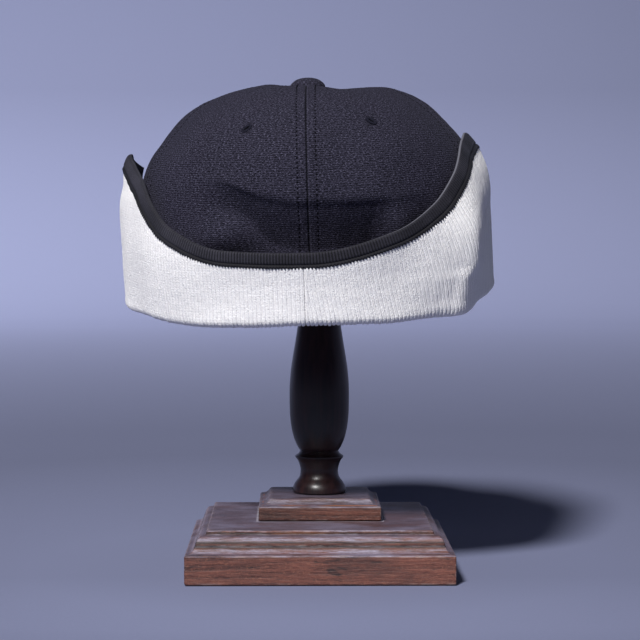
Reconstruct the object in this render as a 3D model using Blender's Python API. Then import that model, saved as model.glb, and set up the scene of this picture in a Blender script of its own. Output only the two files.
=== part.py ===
"""A winter cap on a turned wooden hat stand.

The cap has a six-panel cloth crown, a cloth covered button, a short bill, and a rib knit
flap that is folded up from the rim from temple to temple and bound along its free edge.
It sits on a dome at the top of a turned post, which stands on a plinth of two moulded
squares.

Metres, +Z up. The origin is the centre of the plinth's underside. -Y is the back of the
cap, +Y the way that the bill points, and +X the wearer's right.

Inside the functions lengths are in millimetres. The cap's own frame has u to the
wearer's right, v forward and w up from the plane of the folded rim. An azimuth is in
degrees round the cap, 0 at the centre back and positive towards the wearer's right.
"""

import math

import bmesh
import bpy
import numpy as np
from mathutils import Matrix

MM = 0.001
GAP = 0.35  # between neighbouring pieces

# ---------------------------------------------------------------- the cap's place
CAP_X, CAP_Y, CAP_Z = -2.7, 0.0, 150.0  # centre of the folded rim
CAP_PITCH = 7.3  # front of the rim up
CAP_ROLL = 1.6  # wearer's right up
CAP_YAW = 1.5  # back seam to the wearer's left

# ---------------------------------------------------------------- crown
CROWN_HALF_WIDTH_LEFT = 94.2
CROWN_HALF_WIDTH_RIGHT = 92.6
CROWN_HALF_LENGTH = 97.5
CROWN_PLAN_POWER = 2.08  # 2 is an ellipse, more is squarer
CROWN_WALL = 1.4
CROWN_TOP_HOLE = 3.0  # radius left open under the button
CROWN_LEVEL = 0.105  # how far the head of the stand turns the top back to level
CROWN_ROWS = 13
PANEL_COLUMNS = 8
PANEL_PUFF = 1.0  # how far a panel's middle stands out past its seams
HEM = 4.2  # lower edge of the cloth above the fold of the knit

SEAMS = (-180.0, -122.0, -68.0, 0.0, 68.0, 122.0, 180.0)
PANELS = (
    "crown_front_left",
    "crown_side_left",
    "crown_back_left",
    "crown_back_right",
    "crown_side_right",
    "crown_front_right",
)

# One row for each level of the crown, from the hem to the apex.
PROFILE_COLUMNS = ("height", "reach")  # reach is a share of the widest radius
PROFILE = (
    (4.2, 0.985),
    (20.0, 0.995),
    (42.0, 1.000),
    (56.0, 0.997),
    (66.0, 0.982),
    (77.0, 0.936),
    (87.0, 0.866),
    (95.6, 0.784),
    (103.2, 0.690),
    (109.4, 0.570),
    (112.6, 0.460),
    (114.2, 0.340),
    (114.9, 0.200),
    (115.0, 0.030),
)

# One row for each soft dent of the cloth. Depth is inwards, so a bulge is negative.
DENT_COLUMNS = ("azimuth", "height", "spread_degrees", "spread_height", "depth")
DENTS = (
    (-26.5, 45.0, 8.0, 9.5, -6.0),
    (29.5, 47.0, 4.5, 9.0, -2.5),
    (-2.0, 84.0, 9.0, 17.0, -2.0),
    (14.0, 82.0, 8.0, 14.0, 1.2),
    (-16.0, 80.0, 9.0, 11.0, -1.2),
    (30.0, 82.0, 9.0, 11.0, -1.0),
    (-62.0, 58.0, 8.0, 14.0, 1.0),
    (-90.0, 64.0, 26.0, 19.0, 1.6),
    (-88.0, 94.0, 34.0, 15.0, 3.1),
    (92.0, 92.0, 34.0, 15.0, 0.5),
    (100.0, 60.0, 14.0, 16.0, 1.4),
    (-105.0, 60.0, 14.0, 16.0, 1.4),
)

# Where the cloth is tucked in behind the flap: below the upper height it steps inwards,
# by the whole depth at the lower height, and stays there.
TUCK_COLUMNS = ("azimuth", "depth", "upper", "lower")
TUCK = (
    (-44.0, 0.0, 72.0, 58.0),
    (-34.0, 1.0, 72.0, 60.0),
    (-27.0, 6.0, 72.0, 58.0),
    (-20.0, 10.0, 69.5, 50.0),
    (-12.0, 12.5, 66.5, 38.0),
    (0.0, 12.0, 64.5, 37.0),
    (8.0, 12.5, 64.5, 37.0),
    (15.0, 14.0, 64.5, 37.0),
    (20.0, 14.0, 64.5, 37.0),
    (23.5, 11.0, 64.5, 38.0),
    (27.5, 6.0, 64.0, 40.0),
    (31.0, 4.5, 64.0, 42.0),
    (36.0, 3.5, 64.0, 44.0),
    (44.0, 0.0, 64.0, 46.0),
)

# One row for each dip or puff of the top, in the cap's own plan.
TOP_COLUMNS = ("u", "v", "spread_u", "spread_v", "rise")
TOP_PUFFS = (
    (17.4, 0.0, 9.1, 38.0, -4.3),
    (30.0, 0.0, 9.0, 38.0, -0.9),
    (66.0, 0.0, 24.0, 38.0, 0.8),
    (-22.7, 0.0, 7.9, 38.0, 1.5),
    (-52.0, 0.0, 14.0, 38.0, -1.2),
)

# ---------------------------------------------------------------- ear flap
KNIT_WALL = 2.4
FLAP_END = 112.0  # azimuth of its front edges
FLAP_SEAM = -1.6  # azimuth of the centre back seam
FLAP_COLUMNS_PER_SIDE = 22
FOLD_DEPTH = 5.6  # height of the rounded fold
FLAP_LEVELS = (0.0, 0.25, 0.5, 0.75)  # shares of the height below the bound edge
EDGE_LEVELS = (14.0, 9.5, 4.75, 0.0)  # distances below the free edge

# One row for each section of the flap. fold and top are the heights of the folded edge
# and of the free edge. low, mid and high are the distances between the crown and the
# inside of the flap at the fold, half way up and at the free edge.
FLAP_COLUMNS = ("azimuth", "fold", "top", "low", "mid", "high")
FLAP = (
    (-112.0, -2.2, 69.3, 6.4, 8.0, 8.6),
    (-100.0, -2.1, 75.6, 7.8, 7.6, 8.4),
    (-92.0, -1.8, 79.8, 9.2, 7.2, 8.2),
    (-80.0, -1.2, 76.0, 8.6, 6.2, 4.8),
    (-65.0, -0.6, 67.8, 5.6, 5.7, 2.8),
    (-45.0, -1.6, 47.0, 4.1, 4.5, 2.6),
    (-25.0, -0.9, 37.9, 3.6, 2.6, 4.0),
    (0.0, 0.6, 36.9, 3.1, 2.4, 4.1),
    (25.0, -0.6, 45.4, 3.4, 2.5, 4.6),
    (40.0, -0.8, 57.2, 3.9, 5.9, 2.9),
    (51.0, -1.8, 70.1, 5.6, 8.4, 2.7),
    (65.0, 0.5, 83.4, 3.1, 4.9, 2.8),
    (80.0, 1.4, 87.6, 4.6, 2.6, 3.6),
    (92.0, 1.6, 86.3, 6.6, 2.4, 3.9),
    (100.0, 2.0, 83.2, 5.7, 2.6, 3.8),
    (112.0, 2.4, 76.5, 4.3, 3.0, 3.8),
)

# ---------------------------------------------------------------- binding tape
TAPE_WIDTH = 8.5
TAPE_WALL = 1.0
TAPE_GAP = 0.5  # to the knit, whose facets curve a little away from it

# ---------------------------------------------------------------- bill
BILL_SPREAD = 60.0  # degrees either side of the front centre where it is sewn on
BILL_REACH = 68.0  # how far its edge stands out at the front centre
BILL_THICK = 3.2
BILL_DROOP = 9.0
BILL_ARCH = 17.0
BILL_COLUMNS = 24
BILL_ROWS = 6

# ---------------------------------------------------------------- top button
BUTTON_DIAMETER = 18.8
BUTTON_HEIGHT = 4.4
BUTTON_RISE = 0.5  # its rim above the apex of the cloth
BUTTON_ROWS = 5
BUTTON_SIDES = 24

# ---------------------------------------------------------------- stand
STAND_X, STAND_Y = 0.4, 8.7  # axis of the post and centre of the upper square
POST_SIDES = 28
HEAD_SIDES = 24
HEAD_RADIUS = 46.0
HEAD_CURVE = 96.0
HEAD_TOP = 259.9
HEAD_EDGE = 12.0

# One row for each step of the lower square, from the outside in.
LOWER_COLUMNS = ("half_side", "height")
LOWER = (
    (70.15, 0.0),
    (71.15, 1.0),
    (71.15, 15.3),
    (70.45, 16.0),
    (68.40, 16.6),
    (66.70, 18.1),
    (66.00, 20.1),
    (65.55, 20.5),
    (65.20, 22.3),
    (63.80, 24.4),
    (61.80, 25.3),
    (60.60, 25.5),
    (60.10, 26.0),
    (59.90, 27.2),
    (59.40, 27.7),
)
UPPER_BASE = 28.0
UPPER = (
    (32.90, 28.0),
    (33.35, 28.5),
    (33.35, 35.1),
    (32.75, 35.7),
    (31.00, 36.1),
    (29.40, 36.9),
    (28.30, 38.0),
    (27.60, 39.0),
    (26.50, 39.5),
)

# One row for each step of the turned post. From its foot to the tenon in the head.
POST_COLUMNS = ("radius", "height")
POST = (
    (14.20, 39.85),
    (14.75, 40.5),
    (14.75, 41.8),
    (14.10, 44.3),
    (12.60, 46.6),
    (11.60, 47.8),
    (10.75, 49.9),
    (10.45, 52.1),
    (11.10, 55.5),
    (11.95, 57.7),
    (13.40, 59.6),
    (13.40, 60.3),
    (11.40, 61.9),
    (10.60, 63.3),
    (11.60, 64.6),
    (12.70, 66.7),
    (13.65, 68.9),
    (15.00, 73.4),
    (15.80, 77.9),
    (16.30, 82.4),
    (16.60, 91.0),
    (16.50, 100.3),
    (15.76, 109.2),
    (14.40, 118.2),
    (12.93, 127.1),
    (11.20, 140.0),
    (10.50, 160.0),
    (10.30, 200.0),
    (12.00, 224.0),
    (15.00, 231.5),
    (17.00, 235.6),
)


# ---------------------------------------------------------------- small helpers
def column(rows, names, name):
    return np.array([row[names.index(name)] for row in rows], float)


def smooth(xs, ys, x):
    """A cubic through the points (xs, ys) whose slopes never overshoot, read at x."""
    xs, ys = np.asarray(xs, float), np.asarray(ys, float)
    step = np.diff(xs)
    slope = np.diff(ys) / step
    tangent = np.zeros(len(xs))
    tangent[0], tangent[-1] = slope[0], slope[-1]
    for i in range(1, len(xs) - 1):
        if slope[i - 1] * slope[i] > 0:
            a = 2 * step[i] + step[i - 1]
            b = step[i] + 2 * step[i - 1]
            tangent[i] = (a + b) / (a / slope[i - 1] + b / slope[i])
    x = np.clip(np.asarray(x, float), xs[0], xs[-1])
    i = np.clip(np.searchsorted(xs, x, "right") - 1, 0, len(xs) - 2)
    s = (x - xs[i]) / step[i]
    return (
        (1 + 2 * s) * (1 - s) ** 2 * ys[i]
        + s * (1 - s) ** 2 * step[i] * tangent[i]
        + s * s * (3 - 2 * s) * ys[i + 1]
        + s * s * (s - 1) * step[i] * tangent[i + 1]
    )


def ease(low, high, x):
    """0 below low, 1 above high, smooth between."""
    s = np.clip((np.asarray(x, float) - low) / (high - low), 0, 1)
    return s * s * (3 - 2 * s)


def turned_by(azimuth, other):
    return (azimuth - other + 180.0) % 360.0 - 180.0


# ---------------------------------------------------------------- the crown's surface
PROFILE_HEIGHT = column(PROFILE, PROFILE_COLUMNS, "height")
PROFILE_REACH = column(PROFILE, PROFILE_COLUMNS, "reach")
PROFILE_ALONG = np.concatenate(
    [[0.0], np.cumsum(np.hypot(np.diff(PROFILE_HEIGHT), np.diff(PROFILE_REACH) * 96))]
)


def plan_radius(azimuth):
    """Radius of the crown's widest level."""
    a = math.radians(azimuth)
    wide = CROWN_HALF_WIDTH_LEFT if azimuth < 0 else CROWN_HALF_WIDTH_RIGHT
    across = abs(math.sin(a)) / wide
    along = abs(math.cos(a)) / CROWN_HALF_LENGTH
    n = CROWN_PLAN_POWER
    return (across**n + along**n) ** (-1 / n)


def fold_height(azimuth):
    """Height of the knit's folded edge. In front of the flap it runs level."""
    rows = column(FLAP, FLAP_COLUMNS, "azimuth"), column(FLAP, FLAP_COLUMNS, "fold")
    inside = float(smooth(*rows, max(-FLAP_END, min(FLAP_END, azimuth))))
    return inside * (1 - float(ease(FLAP_END, 150.0, abs(azimuth))))


def panel_puff(azimuth):
    for low, high in zip(SEAMS[:-1], SEAMS[1:]):
        if low <= azimuth <= high:
            return math.sin(math.pi * (azimuth - low) / (high - low)) ** 0.8
    return 0.0


def dent_depth(azimuth, height):
    total = 0.0
    for row in DENTS:
        dent = dict(zip(DENT_COLUMNS, row))
        side = turned_by(azimuth, dent["azimuth"]) / dent["spread_degrees"]
        up = (height - dent["height"]) / dent["spread_height"]
        total += dent["depth"] * math.exp(-side * side - up * up)
    return total


def tuck_depth(azimuth, height):
    at = column(TUCK, TUCK_COLUMNS, "azimuth")
    depth, upper, lower = (
        float(smooth(at, column(TUCK, TUCK_COLUMNS, name), azimuth))
        for name in TUCK_COLUMNS[1:]
    )
    share = min(max((upper - height) / (upper - lower), 0.0), 1.0)
    return depth * (1 - (1 - share) ** 1.15) * float(ease(0.0, 0.22, share))


def crown_surface(azimuth, along):
    """Outer face of the crown. along runs from 0 at the hem to 1 at the apex."""
    place = along * PROFILE_ALONG[-1]
    height = float(smooth(PROFILE_ALONG, PROFILE_HEIGHT, place))
    reach = float(smooth(PROFILE_ALONG, PROFILE_REACH, place))
    radius = plan_radius(azimuth) * reach
    flat = float(ease(0.5, 0.95, reach))
    radius += PANEL_PUFF * panel_puff(azimuth) * float(ease(4.0, 40.0, height)) * (
        0.3 + 0.7 * flat
    ) * float(ease(0.1, 0.4, reach))
    inwards = dent_depth(azimuth, height) + tuck_depth(azimuth, height)
    radius -= inwards * flat * float(ease(4.0, 26.0, height))
    a = math.radians(azimuth)
    u, v = radius * math.sin(a), -radius * math.cos(a)
    height += fold_height(azimuth) * (1 - float(ease(4.0, 45.0, height)))
    height -= CROWN_LEVEL * v * float(ease(52.0, 104.0, height))
    for row in TOP_PUFFS:
        puff = dict(zip(TOP_COLUMNS, row))
        across = (u - puff["u"]) / puff["spread_u"]
        along_v = (v - puff["v"]) / puff["spread_v"]
        share = math.exp(-across * across - along_v * along_v)
        height += puff["rise"] * share * float(ease(88.0, 108.0, height))
    return np.array([u, v, height])


def crown_wall(azimuth, along, inwards):
    """A point of the crown's wall, inwards from its outer face along the normal."""
    here = crown_surface(azimuth, along)
    low, high = max(along - 0.01, 0.0), min(along + 0.01, 1.0)
    up = crown_surface(azimuth, high) - crown_surface(azimuth, low)
    a = math.radians(azimuth)
    round_ = np.array([math.cos(a), math.sin(a), 0.0])
    normal = np.cross(round_, up)
    return here - normal / np.linalg.norm(normal) * inwards


def crown_radius_at(azimuth, height):
    """Radius of the undented crown at a height above the rim."""
    wide = plan_radius(azimuth)
    back = wide * math.cos(math.radians(azimuth))
    level = height
    for _ in range(3):
        level = height - CROWN_LEVEL * back * float(ease(52.0, 104.0, level))
    reach = float(smooth(PROFILE_HEIGHT, PROFILE_REACH, level))
    return wide * reach + PANEL_PUFF * panel_puff(azimuth) * float(
        ease(4.0, 40.0, height)
    )


# ---------------------------------------------------------------- the flap's surface
def flap_value(name, azimuth):
    at = column(FLAP, FLAP_COLUMNS, "azimuth")
    return float(smooth(at, column(FLAP, FLAP_COLUMNS, name), azimuth))


def flap_point(azimuth, height, outwards):
    """A point of the flap, outwards from its inner face. It follows the crown."""
    fold, top = flap_value("fold", azimuth), flap_value("top", azimuth)
    share = (height - fold) / (top - fold)
    clear = float(
        smooth(
            (0.0, 0.5, 1.0),
            [flap_value(name, azimuth) for name in ("low", "mid", "high")],
            share,
        )
    )
    radius = crown_radius_at(azimuth, height) + clear + outwards
    a = math.radians(azimuth)
    return np.array([radius * math.sin(a), -radius * math.cos(a), height])


def flap_heights(azimuth):
    """Heights of the flap's rows at an azimuth, closer together by the free edge."""
    low = flap_value("fold", azimuth) + FOLD_DEPTH
    top = flap_value("top", azimuth)
    high = top - EDGE_LEVELS[0]
    rows = [low + (high - low) * level for level in FLAP_LEVELS]
    return rows + [top - under for under in EDGE_LEVELS]


# ---------------------------------------------------------------- making meshes
def material(name, colour, roughness, metallic=0.0):
    made = bpy.data.materials.new(name)
    made.use_nodes = True
    shader = made.node_tree.nodes["Principled BSDF"]
    shader.inputs["Base Color"].default_value = (*colour, 1.0)
    shader.inputs["Roughness"].default_value = roughness
    shader.inputs["Metallic"].default_value = metallic
    return made


def object_from(name, build, finish, parent=None, sharp=40.0):
    mesh = bpy.data.meshes.new(name)
    build.normal_update()
    bmesh.ops.recalc_face_normals(build, faces=build.faces[:])
    build.to_mesh(mesh)
    build.free()
    mesh.materials.append(finish)
    mesh.shade_smooth()
    mesh.set_sharp_from_angle(angle=math.radians(sharp))
    made = bpy.data.objects.new(name, mesh)
    bpy.context.scene.collection.objects.link(made)
    made.parent = parent
    return made


def sheet_solid(outer, inner):
    """A closed wall between two grids of points of the same size, as a bmesh."""
    build = bmesh.new()
    rows, columns = len(outer), len(outer[0])
    outer_at = [[build.verts.new(p * MM) for p in row] for row in outer]
    inner_at = [[build.verts.new(p * MM) for p in row] for row in inner]
    for i in range(rows - 1):
        for j in range(columns - 1):
            for at, turn in ((outer_at, 1), (inner_at, -1)):
                ring = [at[i][j], at[i][j + 1], at[i + 1][j + 1], at[i + 1][j]]
                build.faces.new(ring[::turn])
    for i in range(rows - 1):
        for j in (0, columns - 1):
            build.faces.new(
                [outer_at[i][j], outer_at[i + 1][j], inner_at[i + 1][j], inner_at[i][j]]
            )
    for j in range(columns - 1):
        for i in (0, rows - 1):
            build.faces.new(
                [outer_at[i][j], outer_at[i][j + 1], inner_at[i][j + 1], inner_at[i][j]]
            )
    return build


def loop_solid(sections):
    """A closed bar through equal closed sections, capped at both ends, as a bmesh."""
    build = bmesh.new()
    rings = [[build.verts.new(p * MM) for p in section] for section in sections]
    count = len(rings[0])
    for low, high in zip(rings[:-1], rings[1:]):
        for k in range(count):
            m = (k + 1) % count
            build.faces.new([low[k], low[m], high[m], high[k]])
    build.faces.new(rings[0])
    build.faces.new(rings[-1][::-1])
    return build


def turned_solid(rows, names, sides):
    """A solid of revolution about Z, closed on its axis at both ends, as a bmesh."""
    build = bmesh.new()
    rings = []
    for row in rows:
        step = dict(zip(names, row))
        radius, height = step["radius"] * MM, step["height"] * MM
        turns = [math.tau * k / sides for k in range(sides)]
        rings.append(
            [
                build.verts.new((radius * math.cos(t), radius * math.sin(t), height))
                for t in turns
            ]
        )
    for low, high in zip(rings[:-1], rings[1:]):
        for k in range(sides):
            m = (k + 1) % sides
            build.faces.new([low[k], low[m], high[m], high[k]])
    build.faces.new(rings[0][::-1])
    build.faces.new(rings[-1])
    return build


def square_solid(rows, names):
    """A square moulding: the same profile on four sides, mitred at the corners."""
    build = bmesh.new()
    rings = []
    for row in rows:
        step = dict(zip(names, row))
        half, height = step["half_side"] * MM, step["height"] * MM
        rings.append(
            [
                build.verts.new((x * half, y * half, height))
                for x, y in ((-1, -1), (1, -1), (1, 1), (-1, 1))
            ]
        )
    for low, high in zip(rings[:-1], rings[1:]):
        for k in range(4):
            m = (k + 1) % 4
            build.faces.new([low[k], low[m], high[m], high[k]])
    build.faces.new(rings[0][::-1])
    build.faces.new(rings[-1])
    return build


# ---------------------------------------------------------------- the pieces
def make_crown(finish, parent):
    rows = [i / CROWN_ROWS for i in range(CROWN_ROWS + 1)]
    last = 1.0 - CROWN_TOP_HOLE / (PROFILE_ALONG[-1] + 3.0)
    rows[-1] = last
    for name, low, high in zip(PANELS, SEAMS[:-1], SEAMS[1:]):
        outer, inner = [], []
        for along in rows:
            here = crown_surface((low + high) / 2, along)
            radius = max(math.hypot(here[0], here[1]), CROWN_TOP_HOLE)
            margin = math.degrees(math.asin(GAP / 2 / radius))
            angles = np.linspace(low + margin, high - margin, PANEL_COLUMNS + 1)
            outer.append([crown_wall(angle, along, 0.0) for angle in angles])
            inner.append([crown_wall(angle, along, CROWN_WALL) for angle in angles])
        object_from(name, sheet_solid(outer, inner), finish, parent)


def flap_angles(low, high):
    return np.linspace(low, high, FLAP_COLUMNS_PER_SIDE + 1)


def make_flap(name, low, high, finish, parent):
    """One half of the flap: a J in section, sewn under the hem and folded up outside."""
    outer, inner = [], []
    for azimuth in flap_angles(low, high):
        fold, top = flap_value("fold", azimuth), flap_value("top", azimuth)
        hem = crown_radius_at(azimuth, HEM)
        foot = flap_value("low", azimuth)
        a = math.radians(azimuth)

        def at(radius, height):
            return np.array(
                [radius * math.sin(a), -radius * math.cos(a), fold + height]
            )

        outside = [
            at(hem - CROWN_WALL, 0.9),
            at(hem + 0.5 * foot, 0.0),
            at(hem + foot + KNIT_WALL - 2.0, 0.5),
            at(hem + foot + KNIT_WALL - 0.5, 2.0),
        ]
        inside = [
            at(hem - CROWN_WALL, 3.3),
            at(hem + 0.5 * foot, 2.7),
            at(hem + foot - 0.9, 3.1),
            at(hem + foot - 0.2, 3.9),
        ]
        for height in flap_heights(azimuth):
            outside.append(flap_point(azimuth, height, KNIT_WALL))
            inside.append(flap_point(azimuth, height, 0.0))
        outer.append(outside)
        inner.append(inside)
    object_from(name, sheet_solid(outer, inner), finish, parent, sharp=60.0)


def tape_path():
    """The flap's free edge, from the foot of one front edge round to the other's foot.

    Each point is (azimuth, height). The last item says how far it may be rounded."""
    foot = [(-FLAP_END, h + 1.2 * (i == 0)) for i, h in enumerate(flap_heights(-FLAP_END)[:-2])]
    other = [(FLAP_END, h + 1.2 * (i == 0)) for i, h in enumerate(flap_heights(FLAP_END)[:-2])]
    inside = [
        (a, flap_value("top", a))
        for a in np.concatenate(
            [flap_angles(-FLAP_END, FLAP_SEAM)[::1], flap_angles(FLAP_SEAM, FLAP_END)[1::1]]
        )
    ]
    return foot + inside + other[::-1]


def make_tape(finish, parent):
    """A tape folded over the edge: an outer leg, a back and an inner leg."""
    path = tape_path()
    scale = math.radians(1.0) * 100.0  # millimetres of edge for a degree of azimuth
    flat = np.array([(a * scale, h) for a, h in path])
    sections = []
    for i, point in enumerate(flat):
        before = flat[i] - flat[i - 1] if i else flat[1] - flat[0]
        after = flat[i + 1] - flat[i] if i + 1 < len(flat) else before
        before, after = before / np.hypot(*before), after / np.hypot(*after)
        normals = np.array([[before[1], -before[0]], [after[1], -after[0]]])
        inward = normals.sum(0)
        inward /= max(np.dot(inward, normals[0]), 0.35)

        def at(inset, outwards):
            x, y = point + inward * inset
            return flap_point(x / scale, y, outwards)

        clear, wall, wide = TAPE_GAP, TAPE_WALL, TAPE_WIDTH
        out, in_ = KNIT_WALL + clear, -clear
        sections.append(
            [
                at(wide - wall - clear, out),
                at(wide - wall - clear, out + wall),
                at((wide - wall) / 2, out + wall),
                at(-clear - wall, out + 0.6 * wall),
                at(-clear - wall, in_ - 0.6 * wall),
                at((wide - wall) / 2, in_ - wall),
                at(wide - wall - clear, in_ - wall),
                at(wide - wall - clear, in_),
                at(-clear, in_),
                at(-clear, out),
            ]
        )
    object_from("binding_tape", loop_solid(sections), finish, parent)


def make_bill(finish, parent):
    upper, lower = [], []
    for azimuth in np.linspace(180.0 - BILL_SPREAD, 180.0 + BILL_SPREAD, BILL_COLUMNS + 1):
        turn = (azimuth - 180.0) / BILL_SPREAD
        facing = azimuth if azimuth <= 180.0 else azimuth - 360.0
        root = crown_radius_at(facing, HEM) + GAP + 0.25
        a = math.radians(azimuth)
        start = np.array([root * math.sin(a), -root * math.cos(a)])
        out = BILL_REACH * (1 - abs(turn) ** 2.9) ** 0.52 + 1.2
        tip = start + np.array([0.07 * start[0] * (1 - turn * turn), out])
        row_up, row_down = [], []
        for k in range(BILL_ROWS + 1):
            s = k / BILL_ROWS
            flat = start + (tip - start) * s
            reach = (flat[1] - start[1]) / BILL_REACH
            height = (
                HEM + 3.4 - BILL_DROOP * reach
                - BILL_ARCH * reach * (flat[0] / CROWN_HALF_WIDTH_LEFT) ** 2 / 0.35 * 0.6
            )
            row_up.append(np.array([flat[0], flat[1], height]))
            row_down.append(np.array([flat[0], flat[1], height - BILL_THICK]))
        upper.append(row_up)
        lower.append(row_down)
    object_from("bill", sheet_solid(upper, lower), finish, parent)


def make_button(finish, parent):
    apex = crown_surface(0.0, 1.0)[2]
    radius = BUTTON_DIAMETER / 2
    rows = [(radius * 0.9, 0.0), (radius, 0.9)]
    for k in range(1, BUTTON_ROWS + 1):
        angle = math.pi / 2 * k / (BUTTON_ROWS + 0.6)
        rows.append(
            (radius * math.cos(angle), 0.9 + (BUTTON_HEIGHT - 0.9) * math.sin(angle))
        )
    build = turned_solid(rows, ("radius", "height"), BUTTON_SIDES)
    button = object_from("top_button", build, finish, parent)
    button.location = (0.0, 0.0, (apex + BUTTON_RISE) * MM)
    button.rotation_euler = (-math.atan(CROWN_LEVEL), 0.0, 0.0)


def make_stand(wood, dark, hidden):
    object_from("plinth_lower", square_solid(LOWER, LOWER_COLUMNS), wood)
    upper = object_from("plinth_upper", square_solid(UPPER, LOWER_COLUMNS), wood)
    post = object_from("stand_post", turned_solid(POST, POST_COLUMNS, POST_SIDES), dark)
    rim = HEAD_TOP - (HEAD_CURVE - math.sqrt(HEAD_CURVE**2 - HEAD_RADIUS**2))
    dome = [
        (30.0, rim - HEAD_EDGE),
        (HEAD_RADIUS - 3.0, rim - HEAD_EDGE + 1.2),
        (HEAD_RADIUS, rim - HEAD_EDGE + 5.0),
        (HEAD_RADIUS, rim - 3.0),
        (HEAD_RADIUS - 1.4, rim - 0.2),
    ]
    for k in range(6, 0, -1):
        radius = (HEAD_RADIUS - 4.0) * k / 6
        dome.append(
            (radius, HEAD_TOP - (HEAD_CURVE - math.sqrt(HEAD_CURVE**2 - radius**2)))
        )
    head = object_from("stand_head", turned_solid(dome, POST_COLUMNS, HEAD_SIDES), hidden)
    for piece in (upper, post, head):
        piece.location = (STAND_X * MM, STAND_Y * MM, 0.0)


def build_all():
    for old in list(bpy.data.objects):
        bpy.data.objects.remove(old, do_unlink=True)

    cloth = material("navy_cloth", (0.022, 0.024, 0.035), 0.85)
    knit = material("off_white_knit", (0.74, 0.72, 0.68), 0.92)
    tape = material("black_tape", (0.012, 0.012, 0.014), 0.75)
    wood = material("red_brown_wood", (0.10, 0.045, 0.032), 0.55)
    dark = material("near_black_wood", (0.012, 0.010, 0.010), 0.38)
    plain = material("plain_wood", (0.30, 0.20, 0.12), 0.65)

    cap = bpy.data.objects.new("cap_frame", None)
    bpy.context.scene.collection.objects.link(cap)
    turn = (
        Matrix.Rotation(math.radians(-CAP_YAW), 4, "Z")
        @ Matrix.Rotation(math.radians(-CAP_ROLL), 4, "Y")
        @ Matrix.Rotation(math.radians(CAP_PITCH), 4, "X")
    )
    cap.location = (CAP_X * MM, CAP_Y * MM, CAP_Z * MM)
    cap.rotation_euler = turn.to_euler()

    make_crown(cloth, cap)
    make_button(cloth, cap)
    seam = math.degrees(GAP / 2 / 100.0)
    make_flap("ear_flap_left", -FLAP_END, FLAP_SEAM - seam, knit, cap)
    make_flap("ear_flap_right", FLAP_SEAM + seam, FLAP_END, knit, cap)
    make_tape(tape, cap)
    make_bill(cloth, cap)
    make_stand(wood, dark, plain)


build_all()
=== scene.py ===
"""The looks of the winter cap on its wooden hat stand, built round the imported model.

Lengths inside the functions are in millimetres. The cap has its own frame: u to the
wearer's right, v forward and w up from the plane of the folded rim. An azimuth is in
degrees round the cap, 0 at the centre back and positive towards the wearer's right.
"""

import math

import bmesh
import bpy
import numpy as np
from mathutils import Matrix, Vector


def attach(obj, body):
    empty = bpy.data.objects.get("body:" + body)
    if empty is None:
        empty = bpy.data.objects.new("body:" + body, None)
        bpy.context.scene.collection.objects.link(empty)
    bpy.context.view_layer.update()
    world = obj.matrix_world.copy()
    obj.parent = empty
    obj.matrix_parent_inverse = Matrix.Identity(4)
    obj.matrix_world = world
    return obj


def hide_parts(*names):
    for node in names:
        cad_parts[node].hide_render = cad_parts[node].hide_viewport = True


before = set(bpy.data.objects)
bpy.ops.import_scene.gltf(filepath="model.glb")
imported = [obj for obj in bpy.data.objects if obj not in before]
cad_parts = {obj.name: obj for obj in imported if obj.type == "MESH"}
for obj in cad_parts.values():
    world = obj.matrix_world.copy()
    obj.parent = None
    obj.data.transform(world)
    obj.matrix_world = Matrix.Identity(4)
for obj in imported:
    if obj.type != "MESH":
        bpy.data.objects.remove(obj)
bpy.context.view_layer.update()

MM = 0.001

# ---------------------------------------------------------------- the cap, as in the CAD
CAP_X, CAP_Y, CAP_Z = -2.7, 0.0, 150.0
CAP_PITCH, CAP_ROLL, CAP_YAW = 7.3, 1.6, 1.5
CROWN_HALF_WIDTH_LEFT, CROWN_HALF_WIDTH_RIGHT = 94.2, 92.6
CROWN_HALF_LENGTH = 97.5
CROWN_PLAN_POWER = 2.08
CROWN_WALL = 1.4
CROWN_TOP_HOLE = 3.0
CROWN_LEVEL = 0.105
PANEL_PUFF = 1.0
HEM = 4.2
SEAMS = (-180.0, -122.0, -68.0, 0.0, 68.0, 122.0, 180.0)
PANELS = (
    "crown_front_left",
    "crown_side_left",
    "crown_back_left",
    "crown_back_right",
    "crown_side_right",
    "crown_front_right",
)
PROFILE_COLUMNS = ("height", "reach")
PROFILE = (
    (4.2, 0.985),
    (20.0, 0.995),
    (42.0, 1.000),
    (56.0, 0.997),
    (66.0, 0.982),
    (77.0, 0.936),
    (87.0, 0.866),
    (95.6, 0.784),
    (103.2, 0.690),
    (109.4, 0.570),
    (112.6, 0.460),
    (114.2, 0.340),
    (114.9, 0.200),
    (115.0, 0.030),
)
# Soft dents of the cloth. Depth is inwards, so a bulge is negative.
DENT_COLUMNS = ("azimuth", "height", "spread_degrees", "spread_height", "depth")
DENTS = (
    (-26.5, 45.0, 8.0, 9.5, -6.0),
    (29.5, 47.0, 4.5, 9.0, -2.5),
    (-2.0, 84.0, 9.0, 17.0, -2.0),
    (14.0, 82.0, 8.0, 14.0, 1.2),
    (-16.0, 80.0, 9.0, 11.0, -1.2),
    (30.0, 82.0, 9.0, 11.0, -1.0),
    (-62.0, 58.0, 8.0, 14.0, 1.0),
    (-90.0, 64.0, 26.0, 19.0, 1.6),
    (-88.0, 94.0, 34.0, 15.0, 3.1),
    (92.0, 92.0, 34.0, 15.0, 0.5),
    (100.0, 60.0, 14.0, 16.0, 1.4),
    (-105.0, 60.0, 14.0, 16.0, 1.4),
)
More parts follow.
